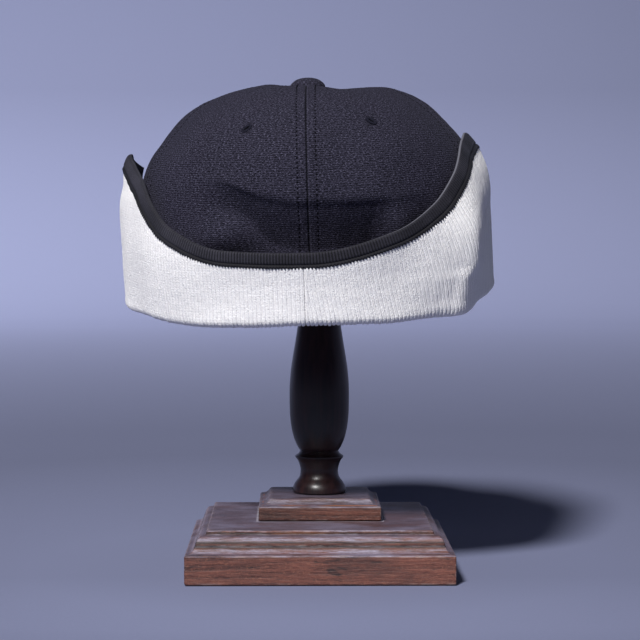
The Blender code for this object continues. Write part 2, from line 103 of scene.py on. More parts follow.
# Where the cloth is tucked in behind the flap: below the upper height it steps inwards,
# by the whole depth at the lower height, and stays there.
TUCK_COLUMNS = ("azimuth", "depth", "upper", "lower")
TUCK = (
    (-44.0, 0.0, 72.0, 58.0),
    (-34.0, 2.0, 72.0, 60.0),
    (-27.0, 7.5, 71.5, 58.0),
    (-20.0, 12.0, 69.0, 52.0),
    (-12.0, 13.5, 66.5, 40.0),
    (0.0, 12.0, 64.5, 37.0),
    (8.0, 12.5, 64.5, 37.0),
    (15.0, 14.0, 64.5, 37.0),
    (20.0, 14.0, 64.5, 37.0),
    (23.5, 11.0, 64.5, 38.0),
    (27.5, 6.0, 64.0, 40.0),
    (31.0, 4.5, 64.0, 42.0),
    (36.0, 3.5, 64.0, 44.0),
    (44.0, 0.0, 64.0, 46.0),
)
TOP_COLUMNS = ("u", "v", "spread_u", "spread_v", "rise")
TOP_PUFFS = (
    (17.4, 0.0, 9.1, 38.0, -4.3),
    (30.0, 0.0, 9.0, 38.0, -0.9),
    (66.0, 0.0, 24.0, 38.0, 0.8),
    (-22.7, 0.0, 7.9, 38.0, 1.5),
    (-52.0, 0.0, 14.0, 38.0, -1.2),
)
KNIT_WALL = 2.4
FLAP_END = 112.0
FLAP_SEAM = -1.6
FOLD_DEPTH = 5.6
FLAP_COLUMNS = ("azimuth", "fold", "top", "low", "mid", "high")
FLAP = (
    (-112.0, -2.2, 69.3, 6.4, 8.4, 10.4),
    (-100.0, -2.1, 75.6, 7.8, 8.0, 10.6),
    (-92.0, -1.8, 79.8, 9.2, 7.6, 10.8),
    (-80.0, -1.2, 76.0, 8.6, 6.4, 6.2),
    (-65.0, -0.6, 67.8, 5.6, 5.7, 2.8),
    (-45.0, -1.6, 47.0, 4.1, 4.5, 2.6),
    (-25.0, -0.9, 37.9, 3.6, 2.6, 4.0),
    (0.0, 0.6, 36.9, 3.1, 2.4, 4.1),
    (25.0, -0.6, 45.4, 3.4, 2.5, 4.6),
    (40.0, -0.8, 57.2, 3.9, 5.9, 2.9),
    (51.0, -1.8, 70.1, 5.6, 8.4, 2.7),
    (65.0, 0.5, 83.4, 3.1, 4.9, 2.8),
    (80.0, 1.4, 87.6, 4.6, 2.6, 3.6),
    (92.0, 1.6, 86.3, 6.6, 2.4, 3.9),
    (100.0, 2.0, 83.2, 5.7, 2.6, 3.8),
    (112.0, 2.4, 76.5, 4.3, 3.0, 3.8),
)
BILL_SPREAD = 60.0
BILL_REACH = 68.0
BILL_THICK = 3.2
BILL_DROOP = 9.0
BILL_ARCH = 17.0
BUTTON_DIAMETER = 18.8
BUTTON_HEIGHT = 5.0
BUTTON_RISE = -0.3

# ---------------------------------------------------------------- the stand, as in the CAD
STAND_X, STAND_Y = 0.4, 8.7
STEP_COLUMNS = ("half_side", "height", "crease")
LOWER = (
    (70.15, 0.0, 1),
    (71.15, 1.0, 1),
    (71.15, 15.3, 1),
    (70.45, 16.0, 1),
    (68.40, 16.6, 0),
    (66.70, 18.1, 0),
    (66.00, 20.1, 1),
    (65.55, 20.5, 1),
    (65.20, 22.3, 0),
    (63.80, 24.4, 0),
    (61.80, 25.3, 0),
    (60.60, 25.5, 1),
    (60.10, 26.0, 1),
    (59.90, 27.2, 1),
    (59.40, 27.7, 1),
)
UPPER = (
    (32.90, 28.0, 1),
    (33.35, 28.5, 1),
    (33.35, 35.1, 1),
    (32.75, 35.7, 1),
    (31.00, 36.1, 0),
    (29.40, 36.9, 0),
    (28.30, 38.0, 0),
    (27.60, 39.0, 1),
    (26.50, 39.5, 1),
)
POST = (
    (14.20, 39.85, 1),
    (14.75, 40.5, 0),
    (14.75, 41.8, 0),
    (14.10, 44.3, 0),
    (12.60, 46.6, 0),
    (11.60, 47.8, 0),
    (10.75, 49.9, 0),
    (10.45, 52.1, 0),
    (11.10, 55.5, 0),
    (11.95, 57.7, 0),
    (13.40, 59.6, 1),
    (13.40, 60.3, 1),
    (11.40, 61.9, 0),
    (10.60, 63.3, 1),
    (11.60, 64.6, 0),
    (12.70, 66.7, 0),
    (13.65, 68.9, 0),
    (15.00, 73.4, 0),
    (15.80, 77.9, 0),
    (16.30, 82.4, 0),
    (16.60, 91.0, 0),
    (16.50, 100.3, 0),
    (15.76, 109.2, 0),
    (14.40, 118.2, 0),
    (12.93, 127.1, 0),
    (11.20, 140.0, 0),
    (10.50, 160.0, 0),
    (10.30, 200.0, 0),
    (12.00, 224.0, 0),
    (15.00, 231.5, 0),
    (17.00, 235.6, 1),
)

# ---------------------------------------------------------------- fine shape
SEAM_GAP = 0.12  # between two crown panels outside; inside their edges meet
SEAM_GROOVE = 0.62
SEAM_LAYERS = 0.26  # how far the seam allowances lift the cloth beside a seam
ROW_OFFSET = 4.8  # from a seam to its rows of stitches
STITCH_PITCH = 2.55
STITCH_LENGTH = 1.35
CLOTH_COLUMNS_AT_SEAM, CLOTH_NEAR_SEAM = 26, 9.0
EYELET_LONG, EYELET_SHORT, EYELET_THREAD = 2.55, 1.15, 0.56
EYELET_COLUMNS = ("azimuth", "along")
EYELETS = (
    (-22.0, 0.530),
    (25.0, 0.545),
    (-95.0, 0.535),
    (95.0, 0.535),
    (-151.0, 0.540),
    (151.0, 0.540),
)

RIB_PITCH = 2.28
RIB_HEIGHT = 0.34
RIB_COLUMNS = 9  # columns of the mesh for each rib
FOLD_ROWS = 12
KNIT_ROWS = 50
# How far the ribs lean, in mm round the cap for each mm down, by distance from the seam.
LEAN_COLUMNS = ("distance", "lean")
LEAN = (
    (0.0, 0.15),
    (60.0, 0.25),
    (100.0, 0.22),
    (150.0, 0.08),
    (210.0, 0.0),
)
# Soft dents of the flap. height is above the fold.
FLAP_DENTS = (
    (-92.0, 67.0, 17.0, 9.0, 2.6),
    (44.6, 17.0, 2.4, 9.0, 0.7),
    (42.0, 3.5, 5.0, 3.0, -0.5),
    (74.0, 48.0, 9.0, 5.0, 1.2),
    (-24.0, 2.0, 3.0, 4.0, -0.5),
)

# The crease where the flap turns forwards over the right ear: its azimuth above and
# below a height, how far it stands out and how quickly it fades to its sides.
CREASE_HIGH, CREASE_LOW, CREASE_STEP = 51.5, 47.5, (19.0, 27.0)
CREASE_OUT, CREASE_SPREAD, CREASE_ROUND = 3.3, 5.6, 2.5
CREASE_ENDS = (44.0, 64.0)

KNIT_AT_EDGE = 1.15  # thickness of the knit inside the tape, at the free edge
KNIT_FULL = 2.05
TAPE_COVER = 7.0  # how far the tape reaches down from the free edge
TAPE_RIB_PITCH = 1.5
TAPE_STEP = 0.25

WALL_RADIUS, WALL_HEIGHT = 3.6, 1.7  # of the stage, in metres
FLOOR_LIFT = 0.026  # in metres


# ---------------------------------------------------------------- small helpers
def column(rows, names, name):
    return np.array([row[names.index(name)] for row in rows], float)


def smooth(xs, ys, x):
    """A cubic through the points (xs, ys) whose slopes never overshoot, read at x."""
    xs, ys = np.asarray(xs, float), np.asarray(ys, float)
    step = np.diff(xs)
    slope = np.diff(ys) / step
    tangent = np.zeros(len(xs))
    tangent[0], tangent[-1] = slope[0], slope[-1]
    for i in range(1, len(xs) - 1):
        if slope[i - 1] * slope[i] > 0:
            a = 2 * step[i] + step[i - 1]
            b = step[i] + 2 * step[i - 1]
            tangent[i] = (a + b) / (a / slope[i - 1] + b / slope[i])
    x = np.clip(np.asarray(x, float), xs[0], xs[-1])
    i = np.clip(np.searchsorted(xs, x, "right") - 1, 0, len(xs) - 2)
    s = (x - xs[i]) / step[i]
    return (
        (1 + 2 * s) * (1 - s) ** 2 * ys[i]
        + s * (1 - s) ** 2 * step[i] * tangent[i]
        + s * s * (3 - 2 * s) * ys[i + 1]
        + s * s * (s - 1) * step[i] * tangent[i + 1]
    )


def through_three(low, mid, high, share):
    """The same cubic through three values at shares 0, 0.5 and 1, for arrays of them."""
    share = np.clip(share, 0, 1)
    first, last = (mid - low) / 0.5, (high - mid) / 0.5
    total = np.where(first + last == 0, 1, first + last)
    middle = np.where(first * last > 0, 2 * first * last / total, 0)
    s = share / 0.5
    below = (
        (1 + 2 * s) * (1 - s) ** 2 * low
        + s * (1 - s) ** 2 * 0.5 * first
        + s * s * (3 - 2 * s) * mid
        + s * s * (s - 1) * 0.5 * middle
    )
    s = (share - 0.5) / 0.5
    above = (
        (1 + 2 * s) * (1 - s) ** 2 * mid
        + s * (1 - s) ** 2 * 0.5 * middle
        + s * s * (3 - 2 * s) * high
        + s * s * (s - 1) * 0.5 * last
    )
    return np.where(share < 0.5, below, above)


def ease(low, high, x):
    """0 below low, 1 above high, smooth between."""
    s = np.clip((np.asarray(x, float) - low) / (high - low), 0, 1)
    return s * s * (3 - 2 * s)


def hump(x, width):
    """1 at x = 0, falling away smoothly over width."""
    return np.exp(-((x / width) ** 2))


def turned_by(azimuth, other):
    return (azimuth - other + 180.0) % 360.0 - 180.0


WANDER = np.random.default_rng(11).normal(size=(7, 4))


def wander(x, y, size):
    """A gentle, repeatable unevenness between about -1 and 1 with humps of that size."""
    total = np.zeros(np.broadcast(x, y).shape)
    for a, b, c, d in WANDER:
        turn = math.atan2(b, a)
        rate = (0.7 + 0.5 * abs(math.sin(3 * c))) / size * math.tau / 2
        total += np.sin(rate * (x * math.cos(turn) + y * math.sin(turn)) + 7 * d)
    return total / 3.2


def unit(vectors):
    return vectors / np.maximum(np.linalg.norm(vectors, axis=-1, keepdims=True), 1e-9)


def grid_normals(points):
    """Normals of a grid of points: its rows go up and its columns to the right, so they
    point at whoever sees it that way round."""
    across = np.gradient(points, axis=1)
    up = np.gradient(points, axis=0)
    return unit(np.cross(across, up))


CAP_TURN = (
    Matrix.Rotation(math.radians(-CAP_YAW), 3, "Z")
    @ Matrix.Rotation(math.radians(-CAP_ROLL), 3, "Y")
    @ Matrix.Rotation(math.radians(CAP_PITCH), 3, "X")
)


def from_cap(points):
    return points @ np.array(CAP_TURN).T + np.array([CAP_X, CAP_Y, CAP_Z])


# ---------------------------------------------------------------- the crown's surface
PROFILE_HEIGHT = column(PROFILE, PROFILE_COLUMNS, "height")
PROFILE_REACH = column(PROFILE, PROFILE_COLUMNS, "reach")
PROFILE_ALONG = np.concatenate(
    [[0.0], np.cumsum(np.hypot(np.diff(PROFILE_HEIGHT), np.diff(PROFILE_REACH) * 96))]
)


def plan_radius(azimuth):
    a = np.radians(azimuth)
    wide = np.where(azimuth < 0, CROWN_HALF_WIDTH_LEFT, CROWN_HALF_WIDTH_RIGHT)
    across = np.abs(np.sin(a)) / wide
    along = np.abs(np.cos(a)) / CROWN_HALF_LENGTH
    n = CROWN_PLAN_POWER
    return (across**n + along**n) ** (-1 / n)


def fold_height(azimuth):
    rows = column(FLAP, FLAP_COLUMNS, "azimuth"), column(FLAP, FLAP_COLUMNS, "fold")
    inside = smooth(*rows, np.clip(azimuth, -FLAP_END, FLAP_END))
    return inside * (1 - ease(FLAP_END, 150.0, np.abs(azimuth)))


def panel_puff(azimuth):
    total = np.zeros(np.shape(azimuth))
    for low, high in zip(SEAMS[:-1], SEAMS[1:]):
        inside = (azimuth >= low) & (azimuth <= high)
        share = np.clip((azimuth - low) / (high - low), 0, 1)
        total = np.where(inside, np.sin(math.pi * share) ** 0.8, total)
    return total


def dent_depth(rows, azimuth, height):
    total = np.zeros(np.broadcast(azimuth, height).shape)
    for row in rows:
        dent = dict(zip(DENT_COLUMNS, row))
        side = turned_by(azimuth, dent["azimuth"]) / dent["spread_degrees"]
        up = (height - dent["height"]) / dent["spread_height"]
        total += dent["depth"] * np.exp(-side * side - up * up)
    return total


def tuck_depth(azimuth, height):
    at = column(TUCK, TUCK_COLUMNS, "azimuth")
    depth, upper, lower = (
        smooth(at, column(TUCK, TUCK_COLUMNS, name), azimuth) for name in TUCK_COLUMNS[1:]
    )
    share = np.clip((upper - height) / (upper - lower), 0, 1)
    return depth * (1 - (1 - share) ** 1.15) * ease(0.0, 0.22, share)


def crown_surface(azimuth, along):
    """Outer face of the crown. along runs from 0 at the hem to 1 at the apex."""
    azimuth, along = np.broadcast_arrays(
        np.asarray(azimuth, float), np.asarray(along, float)
    )
    place = along * PROFILE_ALONG[-1]
    height = smooth(PROFILE_ALONG, PROFILE_HEIGHT, place)
    reach = smooth(PROFILE_ALONG, PROFILE_REACH, place)
    radius = plan_radius(azimuth) * reach
    flat = ease(0.5, 0.95, reach)
    radius = radius + PANEL_PUFF * panel_puff(azimuth) * ease(4.0, 40.0, height) * (
        0.3 + 0.7 * flat
    ) * ease(0.1, 0.4, reach)
    dents = dent_depth(DENTS, azimuth, height) + tuck_depth(azimuth, height)
    radius = radius - dents * flat * ease(4.0, 26.0, height)
    a = np.radians(azimuth)
    u, v = radius * np.sin(a), -radius * np.cos(a)
    height = height + fold_height(azimuth) * (1 - ease(4.0, 45.0, height))
    height = height - CROWN_LEVEL * v * ease(52.0, 104.0, height)
    for row in TOP_PUFFS:
        puff = dict(zip(TOP_COLUMNS, row))
        side, along_v = (u - puff["u"]) / puff["spread_u"], (v - puff["v"]) / puff["spread_v"]
        share = np.exp(-side * side - along_v * along_v)
        height = height + puff["rise"] * share * ease(88.0, 108.0, height)
    return np.stack([u, v, height], -1)


def crown_radius_at(azimuth, height):
    """Radius of the undented crown at a height above the rim."""
    wide = plan_radius(azimuth)
    back = wide * np.cos(np.radians(azimuth))
    level = height
    for _ in range(3):
        level = height - CROWN_LEVEL * back * ease(52.0, 104.0, level)
    reach = smooth(PROFILE_HEIGHT, PROFILE_REACH, level)
    return wide * reach + PANEL_PUFF * panel_puff(azimuth) * ease(4.0, 40.0, height)


def crown_frames(azimuth, along):
    """Points of the crown with the directions round it, up it and out of it."""
    here = crown_surface(azimuth, along)
    low, high = np.maximum(along - 0.004, 0.0), np.minimum(along + 0.004, 1.0)
    up = unit(crown_surface(azimuth, high) - crown_surface(azimuth, low))
    a = np.radians(azimuth) + 0 * along
    round_ = np.stack([np.cos(a), np.sin(a), 0 * a], -1)
    out = unit(np.cross(round_, up))
    return here, unit(np.cross(up, out)), up, out


# ---------------------------------------------------------------- the flap's surface
FLAP_AT = column(FLAP, FLAP_COLUMNS, "azimuth")


def flap_value(name, azimuth):
    return smooth(FLAP_AT, column(FLAP, FLAP_COLUMNS, name), azimuth)


def crease_height(azimuth, up):
    """How far the crease over the right ear lifts the flap there."""
    low, high = CREASE_STEP
    middle = CREASE_LOW + (CREASE_HIGH - CREASE_LOW) * ease(low, high, up)
    away = np.sqrt((azimuth - middle) ** 2 + CREASE_ROUND**2) - CREASE_ROUND
    return CREASE_OUT * np.exp(-away / CREASE_SPREAD) * (1 - ease(*CREASE_ENDS, up))


def edge_distance(azimuth, height):
    """Distance from a point of the flap to its free edge, square to that edge."""
    slope = (flap_value("top", azimuth + 0.5) - flap_value("top", azimuth - 0.5)) / 1.745
    above = (flap_value("top", azimuth) - height) / np.sqrt(1 + slope * slope)
    low = flap_value("fold", azimuth) + FOLD_DEPTH
    ahead = (FLAP_END - np.abs(azimuth)) * 1.745 + 9.0 * (1 - ease(low - 1.2, low + 0.8, height))
    return np.minimum(above, ahead)


def knit_outside(distance):
    """Outer face of the knit, thinner where the tape binds it."""
    return KNIT_AT_EDGE + (KNIT_FULL - KNIT_AT_EDGE) * ease(0.0, 8.0, distance)


def flap_point(azimuth, height, outwards):
    """A point of the flap, outwards from its inner face. It follows the crown."""
    fold, top = flap_value("fold", azimuth), flap_value("top", azimuth)
    share = (height - fold) / (top - fold)
    clear = through_three(
        *(flap_value(name, azimuth) for name in ("low", "mid", "high")), share
    )
    dent = dent_depth(FLAP_DENTS, azimuth, height - fold)
    dent = dent - crease_height(azimuth, height - fold)
    radius = crown_radius_at(azimuth, height) + clear + outwards - dent
    a = np.radians(azimuth)
    return np.stack([radius * np.sin(a), -radius * np.cos(a), height + 0 * radius], -1)


# ---------------------------------------------------------------- making meshes
def mesh_object(name, points, faces, finish, uv=None, values=None, sharp=None, weld=0.0):
    """A piece from points in millimetres. uv and values have one row for each point."""
    mesh = bpy.data.meshes.new(name)
    mesh.from_pydata((np.asarray(points) * MM).tolist(), [], faces)
    corner = np.zeros(len(mesh.loops), np.int64)
    mesh.loops.foreach_get("vertex_index", corner)
    if uv is not None:
        layer = mesh.uv_layers.new(name="cloth")
        layer.data.foreach_set("uv", np.asarray(uv, np.float32)[corner].ravel())
    for key, value in (values or {}).items():
        made = mesh.attributes.new(key, "FLOAT", "POINT")
        made.data.foreach_set("value", np.asarray(value, np.float32).ravel())
    build = bmesh.new()
    build.from_mesh(mesh)
    if weld:
        bmesh.ops.remove_doubles(build, verts=build.verts[:], dist=weld * MM)
        flat = [face for face in build.faces if face.calc_area() < 1e-13]
        if flat:
            bmesh.ops.dissolve_degenerate(build, dist=weld * MM, edges=build.edges[:])
    bmesh.ops.recalc_face_normals(build, faces=build.faces[:])
    build.to_mesh(mesh)
    build.free()
    mesh.materials.append(finish)
    mesh.shade_smooth()
    if sharp is not None:
        mesh.set_sharp_from_angle(angle=math.radians(sharp))
    made = bpy.data.objects.new(name, mesh)
    bpy.context.scene.collection.objects.link(made)
    return made


def grid_faces(rows, columns, start=0, closed=False):
    """Quads of a grid of points, closed round its columns if asked."""
    i, j = np.meshgrid(
        np.arange(rows - 1), np.arange(columns if closed else columns - 1), indexing="ij"
    )
    k = (j + 1) % columns
    quads = np.stack(
        [i * columns + j, i * columns + k, (i + 1) * columns + k, (i + 1) * columns + j],
        -1,
    )
    return (quads.reshape(-1, 4) + start).tolist()


def zip_faces(first, first_at, second, second_at):
    """Triangles between two chains of points that run side by side."""
    faces, i, j = [], 0, 0
    while i < len(first) - 1 or j < len(second) - 1:
        step_first = j >= len(second) - 1 or (
            i < len(first) - 1 and first_at[i + 1] <= second_at[j + 1]
        )
        if step_first:
            faces.append((first[i], first[i + 1], second[j]))
            i += 1
        else:
            faces.append((first[i], second[j + 1], second[j]))
            j += 1
    return faces


def wall_solid(outer, inner, kept_rows, kept_columns):
    """A closed wall. The inner face has only the kept rows and columns of the outer."""
    rows, columns = outer.shape[:2]
    r, c = len(kept_rows), len(kept_columns)
    start = rows * columns
    points = np.concatenate([outer.reshape(-1, 3), inner.reshape(-1, 3)])
    faces = grid_faces(rows, columns)
    faces += [quad[::-1] for quad in grid_faces(r, c, start)]
    outer_at = np.arange(start).reshape(rows, columns)
    inner_at = start + np.arange(r * c).reshape(r, c)
    for line in (0, -1):
        faces += zip_faces(
            outer_at[line].tolist(), range(columns), inner_at[line].tolist(), kept_columns
        )
        faces += zip_faces(
            outer_at[:, line].tolist(), range(rows), inner_at[:, line].tolist(), kept_rows
        )
    return points, faces


def every(count, step):
    """Every step-th number below count, and the last one."""
    kept = list(range(0, count, step))
    return kept if kept[-1] == count - 1 else kept + [count - 1]


# ---------------------------------------------------------------- materials
def add(tree, kind, values=None, **settings):
    node = tree.nodes.new(kind)
    for key, value in settings.items():
        setattr(node, key, value)
    for key, value in (values or {}).items():
        if isinstance(value, bpy.types.NodeSocket):
            tree.links.new(value, node.inputs[key])
        else:
            node.inputs[key].default_value = value
    return node


def maths(tree, operation, first, second=0.0, clamp=False):
    node = add(
        tree, "ShaderNodeMath", {0: first, 1: second}, operation=operation, use_clamp=clamp
    )
    return node.outputs[0]


def mixed(tree, factor, first, second, way="MIX"):
    values = {0: factor, 6: first, 7: second}
    node = add(tree, "ShaderNodeMix", values, data_type="RGBA", blend_type=way)
    return node.outputs[2]


def noise(tree, vector, scale, detail=3.0, roughness=0.55, stretch=None, distortion=0.0):
    if stretch is not None:
        vector = add(
            tree, "ShaderNodeMapping", {"Vector": vector, "Scale": stretch}
        ).outputs[0]
    values = {
        "Vector": vector,
        "Scale": scale,
        "Detail": detail,
        "Roughness": roughness,
        "Distortion": distortion,
    }
    return add(tree, "ShaderNodeTexNoise", values).outputs["Fac"]


def between(tree, value, low, high, to_low=0.0, to_high=1.0):
    values = {
        "Value": value,
        "From Min": low,
        "From Max": high,
        "To Min": to_low,
        "To Max": to_high,
    }
    return add(tree, "ShaderNodeMapRange", values, clamp=True).outputs[0]


def bump(tree, height, distance, strength=1.0, normal=None):
    values = {"Height": height, "Distance": distance, "Strength": strength}
    if normal is not None:
        values["Normal"] = normal
    return add(tree, "ShaderNodeBump", values).outputs[0]


def new_material(name, **constants):
    made = bpy.data.materials.new(name)
    made.use_nodes = True
    tree = made.node_tree
    shader = tree.nodes["Principled BSDF"]
    for key, value in constants.items():
        shader.inputs[key.replace("_", " ")].default_value = value
    return made, tree, shader


def colour(red, green, blue):
    return (red, green, blue, 1.0)


def uv_of(tree):
    node = add(tree, "ShaderNodeUVMap", uv_map="cloth")
    parts = add(tree, "ShaderNodeSeparateXYZ", {0: node.outputs[0]})
    return node.outputs[0], parts.outputs[0], parts.outputs[1]


def attribute(tree, name):
    return add(tree, "ShaderNodeAttribute", attribute_name=name).outputs["Fac"]


def cloth_material(name, dark, light, bright):
    """Heavy cotton canvas: thick weft yarns across, flecks where they come to the top."""
    made, tree, shader = new_material(
        name,
        Roughness=0.92,
        Sheen_Weight=0.03,
        Sheen_Roughness=0.45,
        Sheen_Tint=colour(0.66, 0.68, 0.88),
        Specular_IOR_Level=0.08,
    )
    place, u, v = uv_of(tree)
    slub = noise(tree, place, 1.0, 3.0, 0.6, stretch=(0.10, 0.55, 1.0))
    weft = noise(tree, place, 1.0, 2.0, 0.6, stretch=(0.50, 2.0, 1.0))
    warp = noise(tree, place, 1.0, 2.0, 0.6, stretch=(2.3, 0.9, 1.0))
    spots = noise(tree, place, 1.0, 2.0, 0.7, stretch=(0.90, 2.25, 1.0))
    cloud = noise(tree, place, 0.035, 3.0)
    bend = maths(tree, "MULTIPLY", slub, 2.2)
    lines = maths(tree, "SINE", maths(tree, "ADD", maths(tree, "MULTIPLY", v, math.tau / 1.02), bend))
    posts = maths(tree, "SINE", maths(tree, "ADD", maths(tree, "MULTIPLY", u, math.tau / 1.16), bend))
    weave = maths(tree, "MULTIPLY", lines, maths(tree, "ADD", maths(tree, "MULTIPLY", posts, 0.35), 0.65))
    tone = maths(tree, "ADD", between(tree, weft, 0.36, 0.64, 0.0, 0.62), between(tree, warp, 0.36, 0.64, -0.06, 0.30))
    tone = maths(tree, "ADD", tone, maths(tree, "MULTIPLY", weave, 0.44))
    tone = maths(tree, "ADD", tone, between(tree, cloud, 0.3, 0.7, -0.05, 0.07), clamp=True)
    base = mixed(tree, tone, dark, light)
    fleck = maths(tree, "POWER", between(tree, spots, 0.51, 0.72), 1.3)
    base = mixed(tree, fleck, base, bright)
    # Painted shade in the seams, along the stitch rows and round the eyelets; where shade is negative, a painted
    # highlight on each seam's right edge.
    shade = attribute(tree, "shade")
    base = mixed(tree, maths(tree, "MULTIPLY", shade, 0.9, clamp=True), base, colour(0.0025, 0.0025, 0.0045))
    wear_and_highlight = maths(tree, "MULTIPLY", shade, -0.55, clamp=True)
    base = mixed(tree, wear_and_highlight, base, bright)
    tree.links.new(base, shader.inputs["Base Color"])
    height = maths(tree, "ADD", maths(tree, "MULTIPLY", weave, 0.30), maths(tree, "ADD", weft, warp))
    height = maths(tree, "ADD", height, maths(tree, "MULTIPLY", spots, 0.6))
    tree.links.new(bump(tree, height, 0.00020, 1.0), shader.inputs["Normal"])
    return made


def thread_material(name, dark, light):
    made, tree, shader = new_material(
        name,
        Roughness=0.85,
        Specular_IOR_Level=0.07,
    )
    place = add(tree, "ShaderNodeTexCoord").outputs["Object"]
    strands = noise(tree, place, 2600.0, 2.0, 0.5)
    tree.links.new(
        mixed(tree, between(tree, strands, 0.35, 0.65), dark, light),
        shader.inputs["Base Color"],
    )
    tree.links.new(bump(tree, strands, 0.00008), shader.inputs["Normal"])
    return made


def knit_material():
    """Cotton rib knit: V stitches down each rib, soft fuzz, painted shade in the furrows and between the stitches."""
    made, tree, shader = new_material(
        "off_white_rib_knit",
        Roughness=0.93,
        Sheen_Weight=0.05,
        Sheen_Roughness=0.5,
        Specular_IOR_Level=0.15,
        Subsurface_Weight=0.06,
        Subsurface_Radius=(0.0012, 0.0011, 0.001),
        Subsurface_Scale=1.0,
    )
    place, rib, up = uv_of(tree)
    share = maths(tree, "FRACT", rib)
    side = maths(tree, "ABSOLUTE", maths(tree, "SUBTRACT", share, 0.5))
    course = maths(tree, "ADD", maths(tree, "DIVIDE", up, 1.35), maths(tree, "MULTIPLY", side, 1.15))
    stitch = maths(tree, "SINE", maths(tree, "MULTIPLY", course, math.tau))
    middle = hump_node(tree, side, 0.055)
    fuzz = noise(tree, place, 1.0, 5.0, 0.72, stretch=(4.5, 2.2, 1.0))
    grain = noise(tree, place, 1.0, 2.0, 0.6, stretch=(2.6, 0.60, 1.0))
    patch = noise(tree, place, 1.0, 3.0, 0.5, stretch=(0.12, 0.05, 1.0))
    furrow = attribute(tree, "furrow")
    tone = maths(tree, "ADD", maths(tree, "MULTIPLY", fuzz, 0.6), maths(tree, "MULTIPLY", patch, 0.4))
    base = mixed(tree, between(tree, tone, 0.32, 0.68), colour(0.915, 0.905, 0.905), colour(0.985, 0.975, 0.965))
    base = mixed(tree, between(tree, grain, 0.30, 0.50, 0.14, 0.0), base, colour(0.56, 0.55, 0.57))
    # Painted shade: the furrows between the ribs and the troughs between the stitches are darkened.
    base = mixed(tree, maths(tree, "MULTIPLY", furrow, 0.42), base, colour(0.46, 0.45, 0.48))
    base = mixed(
        tree,
        maths(tree, "MULTIPLY", between(tree, stitch, -1.0, 0.2, 1.0, 0.0), 0.04),
        base,
        colour(0.45, 0.44, 0.45),
    )
    tree.links.new(base, shader.inputs["Base Color"])
    height = maths(tree, "ADD", maths(tree, "MULTIPLY", stitch, 0.06), maths(tree, "MULTIPLY", fuzz, 1.1))
    height = maths(tree, "ADD", height, maths(tree, "MULTIPLY", grain, 1.2))
    height = maths(tree, "SUBTRACT", height, maths(tree, "MULTIPLY", middle, 0.25))
    tree.links.new(bump(tree, height, 0.00046, 1.0), shader.inputs["Normal"])
    return made


def hump_node(tree, value, width):
    """exp(-(value / width)^2) in nodes."""
    square = maths(tree, "POWER", maths(tree, "DIVIDE", value, width), 2.0)
    return maths(tree, "EXPONENT", maths(tree, "MULTIPLY", square, -1.0))


def tape_material():
    """Ribbed binding tape: fine yarns laid over each cross rib, painted light and shade on the ribs, a painted
    highlight along the fold.
    """
    made, tree, shader = new_material(
        "black_ribbed_tape",
        Roughness=0.72,
        Sheen_Weight=0.06,
        Sheen_Roughness=0.4,
        Sheen_Tint=colour(0.55, 0.60, 0.80),
        Specular_IOR_Level=0.22,
    )
    place, along, across = uv_of(tree)
    yarn = noise(tree, place, 1.0, 4.0, 0.7, stretch=(3.6, 1.5, 1.0))
    patch = noise(tree, place, 0.06, 2.0)
    rib = maths(tree, "SINE", maths(tree, "MULTIPLY", along, math.tau / TAPE_RIB_PITCH))
    tone = maths(tree, "ADD", between(tree, yarn, 0.35, 0.68, 0.0, 0.75), between(tree, patch, 0.35, 0.65, -0.12, 0.16))
    # Painted highlight and shade across the cross ribs, weaker towards the right.
    tone = maths(tree, "ADD", tone, maths(tree, "MULTIPLY", rib, maths(tree, "MULTIPLY", attribute(tree, "ribbed"), 0.50)), clamp=True)
    base = mixed(tree, tone, colour(0.0030, 0.0030, 0.0050), colour(0.040, 0.039, 0.053))
    # Painted highlight along the fold at the free edge.
    base = mixed(tree, attribute(tree, "fold_highlight"), base, colour(0.12, 0.12, 0.145))
    base = mixed(tree, maths(tree, "MULTIPLY", attribute(tree, "lower_band"), 0.6), base, colour(0.0025, 0.0025, 0.0040))
    tree.links.new(base, shader.inputs["Base Color"])
    fine = maths(tree, "SINE", maths(tree, "MULTIPLY", across, math.tau / 0.42))
    height = maths(tree, "ADD", yarn, maths(tree, "MULTIPLY", fine, 0.12))
    tree.links.new(bump(tree, height, 0.00014, 0.9), shader.inputs["Normal"])
    return made


